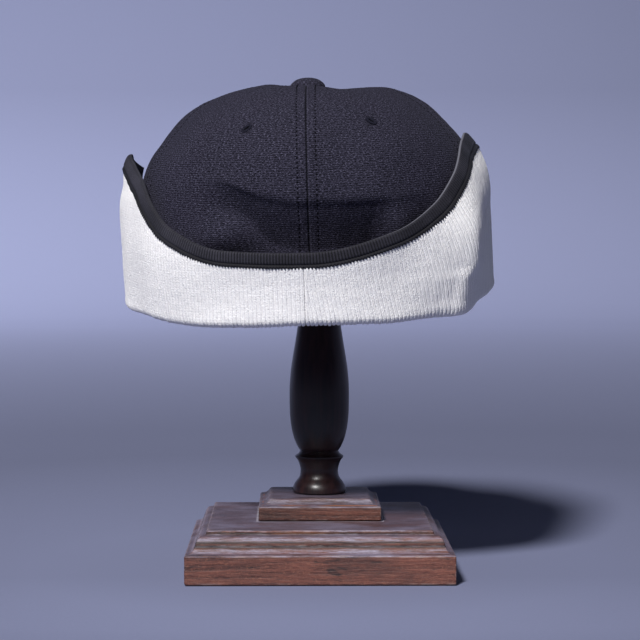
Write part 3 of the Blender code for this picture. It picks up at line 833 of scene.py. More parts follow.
def wood_material(name):
    """Stained softwood: grain along X, dark pores, upper faces greyed by dust and a painted reflection, painted
    highlights on the rounded noses, painted shade in the fillets, rubbed edges.
    """
    made, tree, shader = new_material(name, Specular_IOR_Level=0.45)
    place = add(tree, "ShaderNodeTexCoord").outputs["Object"]
    bend = noise(tree, place, 9.0, 2.0, 0.5, stretch=(0.6, 1.0, 1.0))
    grain = noise(tree, place, 1.0, 5.0, 0.62, stretch=(16.0, 190.0, 330.0), distortion=0.6)
    fine = noise(tree, place, 1.0, 5.0, 0.78, stretch=(260.0, 1900.0, 1900.0))
    speck = noise(tree, place, 620.0, 4.0, 0.72)
    blot = noise(tree, place, 1.0, 3.0, 0.55, stretch=(70.0, 130.0, 250.0))
    smudge = noise(tree, place, 1.0, 4.0, 0.6, stretch=(26.0, 40.0, 60.0))
    tone = maths(tree, "ADD", maths(tree, "MULTIPLY", grain, 0.50), maths(tree, "MULTIPLY", fine, 0.50))
    tone = maths(tree, "ADD", tone, between(tree, bend, 0.3, 0.7, -0.08, 0.08))
    base = mixed(tree, between(tree, tone, 0.38, 0.64), colour(0.019, 0.008, 0.009), colour(0.178, 0.063, 0.044))
    base = mixed(tree, between(tree, speck, 0.52, 0.72, 0.0, 0.65), base, colour(0.24, 0.100, 0.060))
    base = mixed(tree, between(tree, smudge, 0.50, 0.70, 0.0, 0.55), base, colour(0.040, 0.022, 0.022))
    base = mixed(tree, between(tree, blot, 0.61, 0.70, 0.0, 0.85), base, colour(0.016, 0.010, 0.011))
    normal = add(tree, "ShaderNodeNewGeometry").outputs["Normal"]
    facing = add(tree, "ShaderNodeSeparateXYZ", {0: normal}).outputs[2]
    streak = noise(tree, place, 1.0, 5.0, 0.75, stretch=(70.0, 900.0, 900.0), distortion=0.4)
    cover = maths(tree, "ADD", maths(tree, "MULTIPLY", streak, 0.6), maths(tree, "MULTIPLY", smudge, 0.4))
    # Upward faces turn pale grey-violet: partly dust, partly a painted reflection of the paper.
    top = between(tree, facing, 0.78, 0.95)
    dust_and_reflection = maths(tree, "MULTIPLY", top, between(tree, cover, 0.42, 0.60, 0.50, 1.0))
    mottle = maths(tree, "ADD", maths(tree, "MULTIPLY", fine, 0.45), maths(tree, "MULTIPLY", smudge, 0.55))
    pale = mixed(tree, between(tree, mottle, 0.42, 0.58), colour(0.040, 0.031, 0.044), colour(0.168, 0.145, 0.205))
    base = mixed(tree, dust_and_reflection, base, pale)
    # Painted highlight on the rounded noses of the mouldings.
    nose = maths(tree, "MULTIPLY", between(tree, facing, 0.26, 0.46), between(tree, facing, 0.80, 0.94, 1.0, 0.0))
    highlight_mottle = maths(tree, "ADD", maths(tree, "MULTIPLY", streak, 0.55), maths(tree, "MULTIPLY", fine, 0.45))
    nose_highlight = mixed(tree, between(tree, highlight_mottle, 0.40, 0.60), colour(0.072, 0.050, 0.060), colour(0.335, 0.300, 0.390))
    base = mixed(tree, maths(tree, "MULTIPLY", nose, between(tree, cover, 0.42, 0.56, 0.20, 0.95)), base, nose_highlight)
    base = mixed(tree, between(tree, streak, 0.56, 0.70, 0.0, 0.80), base, colour(0.022, 0.014, 0.017))
    edge = attribute(tree, "edge")
    chips = noise(tree, place, 1.0, 4.0, 0.65, stretch=(90.0, 420.0, 420.0))
    rubbed = maths(tree, "MULTIPLY", edge, between(tree, chips, 0.50, 0.64))
    base = mixed(tree, maths(tree, "MULTIPLY", rubbed, 0.55, clamp=True), base, colour(0.34, 0.26, 0.235))
    wear_and_highlight = maths(tree, "MULTIPLY", edge, between(tree, chips, 0.34, 0.46, 0.6, 0.0), clamp=True)
    base = mixed(tree, wear_and_highlight, base, colour(0.020, 0.012, 0.013))
    stripe = noise(tree, place, 1.0, 2.0, 0.5, stretch=(22.0, 420.0, 420.0), distortion=0.8)
    band = attribute(tree, "band")
    orange = maths(tree, "MULTIPLY", band, between(tree, stripe, 0.55, 0.61))
    base = mixed(tree, maths(tree, "MULTIPLY", orange, 0.8), base, colour(0.36, 0.125, 0.040))
    # Painted shade from the line attribute: in the fillets and along the foot of each square.
    base = mixed(tree, attribute(tree, "line"), base, colour(0.006, 0.004, 0.005))
    # A pale line of old polish on the lower square, round the foot of the upper one.
    parts = add(tree, "ShaderNodeSeparateXYZ", {0: place})
    x = maths(tree, "ABSOLUTE", maths(tree, "SUBTRACT", parts.outputs[0], STAND_X * MM))
    y = maths(tree, "ABSOLUTE", maths(tree, "SUBTRACT", parts.outputs[1], STAND_Y * MM))
    away = maths(tree, "SUBTRACT", maths(tree, "MAXIMUM", x, y), 0.0342)
    foot = maths(tree, "MULTIPLY", hump_node(tree, away, 0.00055), between(tree, parts.outputs[2], 0.0279, 0.02792, 1.0, 0.0))
    foot = maths(tree, "MULTIPLY", foot, between(tree, chips, 0.36, 0.52, 0.25, 0.9))
    base = mixed(tree, foot, base, colour(0.33, 0.31, 0.35))
    # Everything above the top of the lower square is made darker.
    block = between(tree, parts.outputs[2], 0.02792, 0.0280, 1.0, 0.78)
    base = mixed(tree, 1.0, base, add(tree, "ShaderNodeCombineColor", {0: block, 1: block, 2: block}).outputs[0], "MULTIPLY")
    tree.links.new(base, shader.inputs["Base Color"])
    tree.links.new(between(tree, fine, 0.3, 0.7, 0.42, 0.62), shader.inputs["Roughness"])
    height = maths(tree, "ADD", grain, maths(tree, "MULTIPLY", fine, 0.7))
    tree.links.new(bump(tree, height, 0.00034, 0.9), shader.inputs["Normal"])
    return made


def post_material():
    """Near-black polished wood with a breath of red where the stain is thin."""
    made, tree, shader = new_material(
        "near_black_polished_wood",
        Coat_Weight=0.0,
        Coat_Roughness=0.26,
        Specular_IOR_Level=0.46,
    )
    place = add(tree, "ShaderNodeTexCoord").outputs["Object"]
    grain = noise(tree, place, 1.0, 5.0, 0.6, stretch=(420.0, 420.0, 16.0))
    cloud = noise(tree, place, 1.0, 3.0, 0.5, stretch=(42.0, 42.0, 18.0))
    tone = maths(tree, "ADD", maths(tree, "MULTIPLY", grain, 0.5), maths(tree, "MULTIPLY", cloud, 0.5))
    base = mixed(tree, between(tree, tone, 0.40, 0.66), colour(0.0062, 0.0044, 0.0060), colour(0.038, 0.0145, 0.0135))
    tree.links.new(base, shader.inputs["Base Color"])
    tree.links.new(between(tree, grain, 0.3, 0.7, 0.31, 0.39), shader.inputs["Roughness"])
    tree.links.new(bump(tree, grain, 0.00006, 0.7), shader.inputs["Normal"])
    return made


def plain_wood_material():
    made, tree, shader = new_material("plain_beech", Specular_IOR_Level=0.4)
    place = add(tree, "ShaderNodeTexCoord").outputs["Object"]
    grain = noise(tree, place, 1.0, 5.0, 0.6, stretch=(30.0, 400.0, 400.0), distortion=0.5)
    flecks = noise(tree, place, 1.0, 3.0, 0.6, stretch=(250.0, 1500.0, 1500.0))
    tone = maths(tree, "ADD", maths(tree, "MULTIPLY", grain, 0.6), maths(tree, "MULTIPLY", flecks, 0.4))
    base = mixed(tree, between(tree, tone, 0.35, 0.65), colour(0.20, 0.12, 0.07), colour(0.38, 0.26, 0.16))
    tree.links.new(base, shader.inputs["Base Color"])
    tree.links.new(between(tree, flecks, 0.3, 0.7, 0.5, 0.66), shader.inputs["Roughness"])
    tree.links.new(bump(tree, tone, 0.00015, 0.8), shader.inputs["Normal"])
    return made


def stage_material():
    """Blue-grey paper. Its tone is painted light falloff: it drifts with distance from the stand and from the light."""
    made, tree, shader = new_material("blue_grey_paper", Roughness=0.95, Specular_IOR_Level=0.08)
    place = add(tree, "ShaderNodeTexCoord").outputs["Object"]
    parts = add(tree, "ShaderNodeSeparateXYZ", {0: place})
    across = maths(tree, "POWER", parts.outputs[0], 2.0)
    far = maths(tree, "SQRT", maths(tree, "ADD", across, maths(tree, "POWER", parts.outputs[1], 2.0)))
    fibres = noise(tree, place, 900.0, 3.0, 0.7)
    near = between(tree, far, 0.16, 0.42, 0.98, 0.69)
    rise = between(tree, far, 0.40, 2.50, 0.0, 0.64)
    fade = between(tree, parts.outputs[2], -0.02, 0.50, 0.0, -0.47)
    front = between(tree, parts.outputs[1], -0.20, -0.04, 0.26, 0.0)
    tone = maths(tree, "ADD", maths(tree, "ADD", near, front), maths(tree, "ADD", rise, fade))
    tone = maths(tree, "MULTIPLY", tone, between(tree, parts.outputs[0], -0.75, 0.75, 1.19, 0.74))
    tone = maths(tree, "MULTIPLY", tone, between(tree, fibres, 0.3, 0.7, 0.96, 1.04))
    grey = add(tree, "ShaderNodeCombineColor", {0: tone, 1: tone, 2: tone}).outputs[0]
    base = mixed(tree, 1.0, grey, colour(0.184, 0.201, 0.308), "MULTIPLY")
    tree.links.new(base, shader.inputs["Base Color"])
    tree.links.new(bump(tree, fibres, 0.0001, 0.5), shader.inputs["Normal"])
    return made


CLOTH = cloth_material(
    "navy_heavy_cotton",
    colour(0.0020, 0.0018, 0.0038),
    colour(0.0300, 0.0282, 0.0470),
    colour(0.118, 0.114, 0.172),
)
THREAD = thread_material("navy_thread", colour(0.0006, 0.0006, 0.0014), colour(0.0030, 0.0030, 0.0060))
EYELET_THREAD_FINISH = thread_material("navy_eyelet_thread", colour(0.0030, 0.0030, 0.0062), colour(0.020, 0.020, 0.034))
PALE_THREAD = thread_material("pale_thread", colour(0.36, 0.35, 0.36), colour(0.55, 0.54, 0.54))
SHADE = thread_material("eyelet_shade", colour(0.0008, 0.0008, 0.0014), colour(0.002, 0.002, 0.003))
KNIT = knit_material()
TAPE = tape_material()
WOOD = wood_material("red_brown_stained_wood")
POST_WOOD = post_material()
PLAIN_WOOD = plain_wood_material()
PAPER = stage_material()


# ---------------------------------------------------------------- crown
def cloth_shape(azimuth, along):
    """A point of the finished cloth: its surface with the seams' and eyelets' relief."""
    here, _, _, out = crown_frames(azimuth, along)
    radius = np.hypot(here[..., 0], here[..., 1])
    place = along * PROFILE_ALONG[-1]
    relief = 0.22 * wander(radius * np.radians(azimuth), place, 21.0)
    relief += 0.07 * wander(radius * np.radians(azimuth), place, 6.0)
    spread = ease(8.0, 22.0, radius)
    for number, seam in enumerate(SEAMS[1:]):
        away = radius * np.radians(turned_by(azimuth, seam))
        d = np.abs(away)
        row = ROW_OFFSET * (0.35 + 0.65 * spread)
        relief -= SEAM_GROOVE * hump(d, 0.44)
        relief += 0.05 * hump(away - 0.9, 0.45) * spread
        relief += SEAM_LAYERS * (1 - ease(row + 0.2, row + 1.6, d)) * (0.4 + 0.6 * spread)
        relief -= 0.24 * hump(d - row, 0.7) * spread
        pull = wander(place + 40.0 * number, away * 0.3, 7.5)
        relief += 0.10 * pull * hump(d - row * 0.6, 5.5) * spread
    for row in EYELETS:
        spot = dict(zip(EYELET_COLUMNS, row))
        centre = crown_surface(spot["azimuth"], spot["along"])
        far = np.linalg.norm(here - centre, axis=-1)
        relief -= 0.45 * hump(far, 2.8)
    return here + out * relief[..., None]


def cloth_shade(azimuth, along):
    """Painted shade: darker in the seams, along the stitches and round the eyelets; negative just right of each seam,
    for a painted highlight there.
    """
    here = crown_surface(azimuth, along)
    radius = np.hypot(here[..., 0], here[..., 1])
    spread = ease(8.0, 22.0, radius)
    shade = np.zeros(radius.shape)
    for seam in SEAMS[1:]:
        away = radius * np.radians(turned_by(azimuth, seam))
        row = ROW_OFFSET * (0.35 + 0.65 * spread)
        shade += 1.0 * hump(away, 0.40) + 0.10 * hump(np.abs(away) - row, 0.55) * spread
        shade -= 0.22 * hump(away - 0.85, 0.30) * spread
    for row in EYELETS:
        spot = dict(zip(EYELET_COLUMNS, row))
        centre = crown_surface(spot["azimuth"], spot["along"])
        shade += 0.55 * hump(np.linalg.norm(here - centre, axis=-1), 3.0)
    return np.clip(shade, -1.0, 1.0)


def make_crown():
    last = 1.0 - CROWN_TOP_HOLE / (PROFILE_ALONG[-1] + 3.0)
    for name, low, high in zip(PANELS, SEAMS[:-1], SEAMS[1:]):
        back = "back" in name
        rows = 150 if back else 104
        middle = 84 if back else 42
        along = np.linspace(0.0, last, rows)[:, None]
        here = crown_surface(np.full((rows, 1), (low + high) / 2), along)
        radius = np.maximum(np.hypot(here[..., 0], here[..., 1]), CROWN_TOP_HOLE)
        arc = radius * math.radians(high - low)
        near = np.minimum(CLOTH_NEAR_SEAM, 0.34 * arc)
        side = np.linspace(0.0, 1.0, CLOTH_COLUMNS_AT_SEAM + 1)[None, :] ** 1.35
        centre = np.linspace(0.0, 1.0, middle + 1)[None, 1:-1]
        distance = np.concatenate(
            [
                SEAM_GAP / 2 + (near - SEAM_GAP / 2) * side,
                near + (arc - 2 * near) * centre,
                arc - SEAM_GAP / 2 - (near - SEAM_GAP / 2) * side[:, ::-1],
            ],
            1,
        )
        azimuth = low + np.degrees(distance / radius)
        azimuth = np.clip(azimuth, low + 1e-4, high - 1e-4)
        outer = cloth_shape(azimuth, along + 0 * azimuth)
        kept_rows, kept_columns = every(rows, 4), every(outer.shape[1], 4)
        plain, _, _, out = crown_frames(azimuth, along + 0 * azimuth)
        inner = (plain - out * CROWN_WALL)[np.ix_(kept_rows, kept_columns)]
        inner[:, 0] += 0.7 * SEAM_GAP * unit(inner[:, 0] - inner[:, 1])
        inner[:, -1] += 0.7 * SEAM_GAP * unit(inner[:, -1] - inner[:, -2])
        points, faces = wall_solid(outer, inner, kept_rows, kept_columns)
        flat = np.stack(
            [
                (azimuth - (low + high) / 2) * np.radians(1.0) * radius + 200.0 * (low + 200) / 60,
                (along + 0 * azimuth) * PROFILE_ALONG[-1],
            ],
            -1,
        )
        uv = np.concatenate(
            [flat.reshape(-1, 2), flat[np.ix_(kept_rows, kept_columns)].reshape(-1, 2)]
        )
        shade = cloth_shade(azimuth, along + 0 * azimuth)
        shade = np.concatenate([shade.ravel(), np.zeros(len(kept_rows) * len(kept_columns))])
        panel = mesh_object(
            name + "_cloth", from_cap(points), faces, CLOTH, uv, {"shade": shade}, sharp=50.0
        )
        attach(panel, "root")
        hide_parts(name)


def capsules(centres, along, out, length, across, thick, sink, rings=5, sides=6):
    """Short stitches: bent bars whose ends dip into the cloth. Points and faces."""
    side = unit(np.cross(out, along))
    points, faces = [], []
    t = np.linspace(-1.0, 1.0, rings)
    turn = np.arange(sides) * math.tau / sides
    swell = np.sqrt(np.maximum(1 - np.abs(t) ** 3.2, 0.10))
    for centre, a, n, s in zip(centres, along, out, side):
        start = len(points)
        for k in range(rings):
            middle = centre + a * (t[k] * length / 2) - n * (sink * t[k] ** 4)
            for w in turn:
                points.append(
                    middle
                    + s * (across * swell[k] * math.cos(w))
                    + n * (thick * swell[k] * math.sin(w))
                )
        faces += grid_faces(rings, sides, start, closed=True)
        faces.append([start + k for k in range(sides)][::-1])
        faces.append([start + (rings - 1) * sides + k for k in range(sides)])
    return points, faces


def even_places(points, pitch, first, last):
    """Places at even distances along a chain of points: fractional row numbers."""
    step = np.linalg.norm(np.diff(points, axis=0), axis=1)
    along = np.concatenate([[0.0], np.cumsum(step)])
    at = np.arange(first, along[-1] - last, pitch)
    return np.interp(at, along, np.arange(len(points)))


def make_crown_stitches():
    points, faces = [], []
    along = np.linspace(0.02, 0.985, 500)
    for seam in SEAMS[1:]:
        for side in (-1, 1):
            radius = np.hypot(*crown_surface(seam, along)[:, :2].T)
            spread = ease(8.0, 22.0, radius)
            offset = ROW_OFFSET * (0.35 + 0.65 * spread)
            azimuth = seam + side * np.degrees(offset / radius)
            azimuth = (azimuth + 180.0) % 360.0 - 180.0
            line = cloth_shape(azimuth, along)
            _, _, _, out = crown_frames(azimuth, along)
            at = even_places(line, STITCH_PITCH, 1.0 + 0.9 * (side > 0), 0.0)
            at = at[np.interp(at, np.arange(500), radius) > 10.5]
            tangent = unit(np.gradient(line, axis=0))
            i = np.clip(np.round(at).astype(int), 0, 499)
            more, made = capsules(
                line[i] + out[i] * 0.10,
                tangent[i],
                out[i],
                STITCH_LENGTH,
                0.42,
                0.17,
                0.30,
            )
            faces += [[k + len(points) for k in face] for face in made]
            points += more
    piece = mesh_object("crown_stitching", from_cap(np.array(points)), faces, THREAD)
    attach(piece, "root")


def make_eyelets():
    """Embroidered vent holes: a ring of thread over a dark bowl of painted shade that stands in for the hole."""
    turns, sides, threads = 108, 9, 23
    points, faces, shade_points, shade_faces = [], [], [], []
    for row in EYELETS:
        spot = dict(zip(EYELET_COLUMNS, row))
        here, round_, up, out = (
            x[0] for x in crown_frames(np.array([spot["azimuth"]]), np.array([spot["along"]]))
        )
        here = here - out * 0.28
        lean = math.radians(-48.0 if spot["azimuth"] > 0 else 48.0)
        long_way = round_ * math.cos(lean) + up * math.sin(lean)
        short_way = up * math.cos(lean) - round_ * math.sin(lean)
        start = len(points)
        for i in range(turns):
            w = math.tau * i / turns
            away = long_way * (EYELET_LONG * math.cos(w)) + short_way * (EYELET_SHORT * math.sin(w))
            outwards = unit(
                long_way * (EYELET_SHORT * math.cos(w)) + short_way * (EYELET_LONG * math.sin(w))
            )
            ridge = 0.11 * abs(math.sin(w * threads / 2)) ** 0.7
            for k in range(sides):
                x = math.tau * k / sides
                thick = EYELET_THREAD + ridge
                points.append(
                    here
                    + away
                    + outwards * (thick * 1.15 * math.cos(x))
                    + out * (thick * 0.85 * math.sin(x) + 0.16)
                )
        ring = np.arange(turns * sides).reshape(turns, sides)
        for i in range(turns):
            for k in range(sides):
                m, n = (i + 1) % turns, (k + 1) % sides
                faces.append(
                    [start + int(q) for q in (ring[i, k], ring[m, k], ring[m, n], ring[i, n])]
                )
        # The dark bowl is painted shade; the cloth under it is not cut through.
        start = len(shade_points)
        bowl = ((0.90, 0.34), (0.70, 0.22), (0.4, 0.10), (0.98, -0.25))
        for far, high in bowl:
            for i in range(32):
                w = math.tau * i / 32
                away = long_way * (EYELET_LONG * math.cos(w)) + short_way * (EYELET_SHORT * math.sin(w))
                shade_points.append(here + away * far + out * high)
        n = 32
        shade_faces += grid_faces(3, n, start, closed=True)
        shade_faces.append([start + 2 * n + k for k in range(n)])
        for k in range(n):
            m = (k + 1) % n
            shade_faces.append([start + 3 * n + k, start + 3 * n + m, start + m, start + k])
        shade_faces.append([start + 3 * n + k for k in range(n)][::-1])
    ring = mesh_object("eyelets", from_cap(np.array(points)), faces, EYELET_THREAD_FINISH)
    hole_shade = mesh_object("eyelet_hole_shade", from_cap(np.array(shade_points)), shade_faces, SHADE, sharp=40.0)
    for piece in (ring, hole_shade):
        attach(piece, "root")


def crown_height_near_top(u, v):
    """Height of the crown's outer face above a place near its middle."""
    azimuth = math.degrees(math.atan2(u, -v))
    along = np.linspace(0.80, 1.0, 60)
    line = crown_surface(np.full(60, azimuth), along)
    radius = np.hypot(line[:, 0], line[:, 1])
    return float(np.interp(math.hypot(u, v), radius[::-1], line[::-1, 2]))


def make_button():
    """A cloth covered button whose cloth is gathered into small pleats under its rim."""
    sides, radius = 120, BUTTON_DIAMETER / 2
    rows = [(radius * 0.84, None), (radius * 0.99, None), (radius, 0.25)]
    for k in range(1, 19):
        angle = math.pi / 2 * k / 19.0
        rows.append((radius * math.cos(angle) ** 0.84, 0.25 + (BUTTON_HEIGHT - 0.25) * math.sin(angle) ** 1.3))
    points, uv = [], []
    apex = crown_surface(0.0, 1.0)[2]
    slant = CROWN_LEVEL
    for far, high_ in rows:
        for i in range(sides):
            w = math.tau * i / sides
            high = high_
            if high_ is None:
                under = crown_height_near_top(far * math.cos(w), far * math.sin(w))
                under += slant * far * math.sin(w) - apex - BUTTON_RISE
                high = min(under + (0.22 if far < radius * 0.9 else 0.5), 0.1)
            low = float(1 - ease(0.8, 3.6, high))
            pleat = 0.24 * low * math.sin(9 * w + 0.8 * math.sin(2 * w)) + 0.12 * low * math.sin(17 * w + 1.0)
            dent = 0.12 * math.sin(2 * w + 0.6) * (far / radius) ** 2 * (1 - low)
            points.append(((far + pleat) * math.cos(w), (far + pleat) * math.sin(w), high + dent))
            uv.append((900 + far * math.cos(w), far * math.sin(w) + 0.4 * high))
    faces = grid_faces(len(rows), sides, closed=True)
    faces.append(list(range(sides))[::-1])
    top = (len(rows) - 1) * sides
    points.append((0.0, 0.0, BUTTON_HEIGHT))
    uv.append((900.0, 0.0))
    for i in range(sides):
        faces.append([top + i, top + (i + 1) % sides, len(points) - 1])
    tilt = np.array(Matrix.Rotation(-math.atan(CROWN_LEVEL), 3, "X"))
    placed = np.array(points) @ tilt.T + np.array([0.0, 0.0, apex + BUTTON_RISE])
    piece = mesh_object("top_button_cloth", from_cap(placed), faces, CLOTH, uv, sharp=60.0)
    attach(piece, "root")
    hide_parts("top_button")


# ---------------------------------------------------------------- flap
ARC_AT = np.linspace(-FLAP_END, FLAP_END, 897)
ARC_STEP = np.radians(ARC_AT[1] - ARC_AT[0]) * (
    crown_radius_at(ARC_AT, 14.0 + 0 * ARC_AT) + flap_value("low", ARC_AT) + KNIT_WALL
)
ARC = np.concatenate([[0.0], np.cumsum((ARC_STEP[1:] + ARC_STEP[:-1]) / 2)])
ARC = ARC - np.interp(FLAP_SEAM, ARC_AT, ARC)


def lean_at(distance):
    lean = smooth(
        column(LEAN, LEAN_COLUMNS, "distance"), column(LEAN, LEAN_COLUMNS, "lean"), distance
    )
    return np.where(distance > 0, lean, 0.0)


def flap_rows(azimuth, outside):
    """Rows of the flap's section at those azimuths, bottom first: the turned fold, then
    the wall. Returns points (rows, columns, 3)."""
    fold, top = flap_value("fold", azimuth), flap_value("top", azimuth)
    hem = crown_radius_at(azimuth, HEM + 0 * azimuth)
    foot = flap_value("low", azimuth) + crease_height(azimuth, 0 * azimuth)
    low = fold + FOLD_DEPTH
    wall_out = KNIT_FULL if outside else 0.0
    above = flap_point(azimuth, low, wall_out)
    higher = flap_point(azimuth, low + 6.0, wall_out)
    if outside:
        turn = [
            (hem - CROWN_WALL - 3.0, 1.4),
            (hem - CROWN_WALL, 0.9),
            (hem + 0.5 * foot, 0.0),
            (hem + foot + KNIT_WALL - 2.7, 0.5),
            (hem + foot + KNIT_WALL - 1.0, 2.3),
        ]
    else:
        turn = [
            (hem - CROWN_WALL - 3.0, 3.5),
            (hem - CROWN_WALL, 3.3),
            (hem + 0.5 * foot, 2.7),
            (hem + foot - 0.9, 3.1),
            (hem + foot - 0.2, 3.9),
        ]
    a = np.radians(azimuth)
    chain = [
        np.stack([r * np.sin(a), -r * np.cos(a), fold + h + 0 * r], -1) for r, h in turn
    ] + [above, higher]
    rows = []
    per = FOLD_ROWS // 4
    for k in range(1, len(chain) - 2):
        p0, p1, p2, p3 = chain[k - 1], chain[k], chain[k + 1], chain[k + 2]
        for t in np.arange(per) / per:
            rows.append(
                0.5
                * (
                    2 * p1
                    + (p2 - p0) * t
                    + (2 * p0 - 5 * p1 + 4 * p2 - p3) * t * t
                    + (3 * p1 - p0 - 3 * p2 + p3) * t**3
                )
            )
    for share in np.linspace(0.0, 1.0, KNIT_ROWS):
        height = low + (top - low) * share
        if outside:
            wall_out = knit_outside(edge_distance(azimuth, height))
        rows.append(flap_point(azimuth, height, wall_out))
    return np.stack(rows)


def make_flap(name, low, high):
    """One half of the flap: rib knit, folded up from the rim, with a rounded fold."""
    ends = np.interp([low, high], ARC_AT, ARC)
    count = int(round((ends[1] - ends[0]) / RIB_PITCH)) * RIB_COLUMNS
    base = np.linspace(ends[0], ends[1], count + 1)
    length = ends[1] - ends[0]
    right = high > 50
    # The columns lean with the ribs, except by the seam and the front edge.
    first = np.interp(base, ARC, ARC_AT)
    straight = flap_rows(first, True)
    up = np.maximum(straight[..., 2] - flap_value("fold", first)[None, :], 0.0)
    if right:
        weight = ease(2.0, 40.0, base) * (1 - ease(length - 26.0, length - 2.0, base))
        arc = base[None, :] - (lean_at(base) * weight)[None, :] * up
    else:
        arc = np.repeat(base[None, :], len(up), 0)
    azimuth = np.interp(arc, ARC, ARC_AT)
    outer = np.empty(straight.shape)
    for row in range(len(up)):
        outer[row] = flap_rows_at(azimuth[row], row, True)
    rib = (arc + lean_at(arc) * up) / RIB_PITCH
    share = rib - np.floor(rib)
    furrow = np.abs(2 * share - 1)
    number = np.floor(rib)
    uneven = 0.12 * np.sin(number * 12.9898) + 0.14 * np.sin(number * 4.1 + up / 5.0)
    bare = ease(5.0, 7.4, edge_distance(azimuth, outer[..., 2]))
    bare[: len(up) - KNIT_ROWS] = 1.0
    fold_swell = 1 + 1.3 * (1 - ease(1.0, 6.0, up))
    relief = RIB_HEIGHT * fold_swell * (1 + uneven) * (1 - furrow**4.0)
    relief += 0.16 * wander(arc, up, 17.0) + 0.07 * wander(arc, up, 4.0)
    seam = np.abs(arc)
    relief -= 0.35 * hump(seam, 0.6)
    relief += 0.2 * (1 - ease(4.5, 6.5, seam))
    if right:
        relief += 0.22 * hump(arc - 1.1, 0.7) * ease(2.0, 8.0, up)
    relief *= bare
    normals = grid_normals(outer)
    outer = outer + normals * relief[..., None]
    kept_rows = every(outer.shape[0], 3)
    kept_columns = every(outer.shape[1], 6)
    inner = np.stack(
        [flap_rows_at(azimuth[row], row, False)[kept_columns] for row in kept_rows]
    )
    points, faces = wall_solid(outer, inner, kept_rows, kept_columns)
    uv = np.stack([rib, up], -1)
    uv = np.concatenate([uv.reshape(-1, 2), uv[np.ix_(kept_rows, kept_columns)].reshape(-1, 2)])
    # Painted shade for the furrows between the ribs, and a little over the whole inner face.
    dark = ease(0.66, 1.0, furrow)
    dark = np.concatenate([dark.ravel(), np.full(len(kept_rows) * len(kept_columns), 0.15)])
    piece = mesh_object(
        name + "_knit", from_cap(points), faces, KNIT, uv, {"furrow": dark}, sharp=60.0
    )
    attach(piece, "root")
    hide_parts(name)
    return outer, up, arc


ROW_CACHE = {}


def flap_rows_at(azimuth, row, outside):
    """One row of flap_rows, at the azimuths of that row."""
    key = (azimuth.tobytes(), outside)
    if key not in ROW_CACHE:
        ROW_CACHE.clear()
        ROW_CACHE[key] = flap_rows(azimuth, outside)
    return ROW_CACHE[key][row]


# ---------------------------------------------------------------- run
def show(piece, slot, *nodes):
    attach(piece, "root")
    if nodes:
        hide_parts(*nodes)
    return piece


def tape_path():
    """The flap's free edge as (azimuth, height) in even steps, and where it turns."""
    scale = 1.745

    def side(azimuth):
        low = float(flap_value("fold", azimuth)) + FOLD_DEPTH + 1.2
        return low, float(flap_value("top", azimuth))

    edge = np.linspace(-FLAP_END, FLAP_END, 2400)
    left, right = side(-FLAP_END), side(FLAP_END)
    chain = np.concatenate(
        [
            [[-FLAP_END * scale, left[0]]],
            np.stack([edge * scale, flap_value("top", edge)], -1),
            [[FLAP_END * scale, right[0]]],
        ]
    )
    step = np.linalg.norm(np.diff(chain, axis=0), axis=1)
    along = np.concatenate([[0.0], np.cumsum(step)])
    count = int(along[-1] / TAPE_STEP)
    at = np.linspace(0.0, along[-1], count + 1)
    corners = (along[1], along[-2])
    for corner in corners:
        at[np.argmin(np.abs(at - corner))] = corner
    flat = np.stack([np.interp(at, along, chain[:, k]) for k in (0, 1)], -1)
    return flat, at, corners, scale


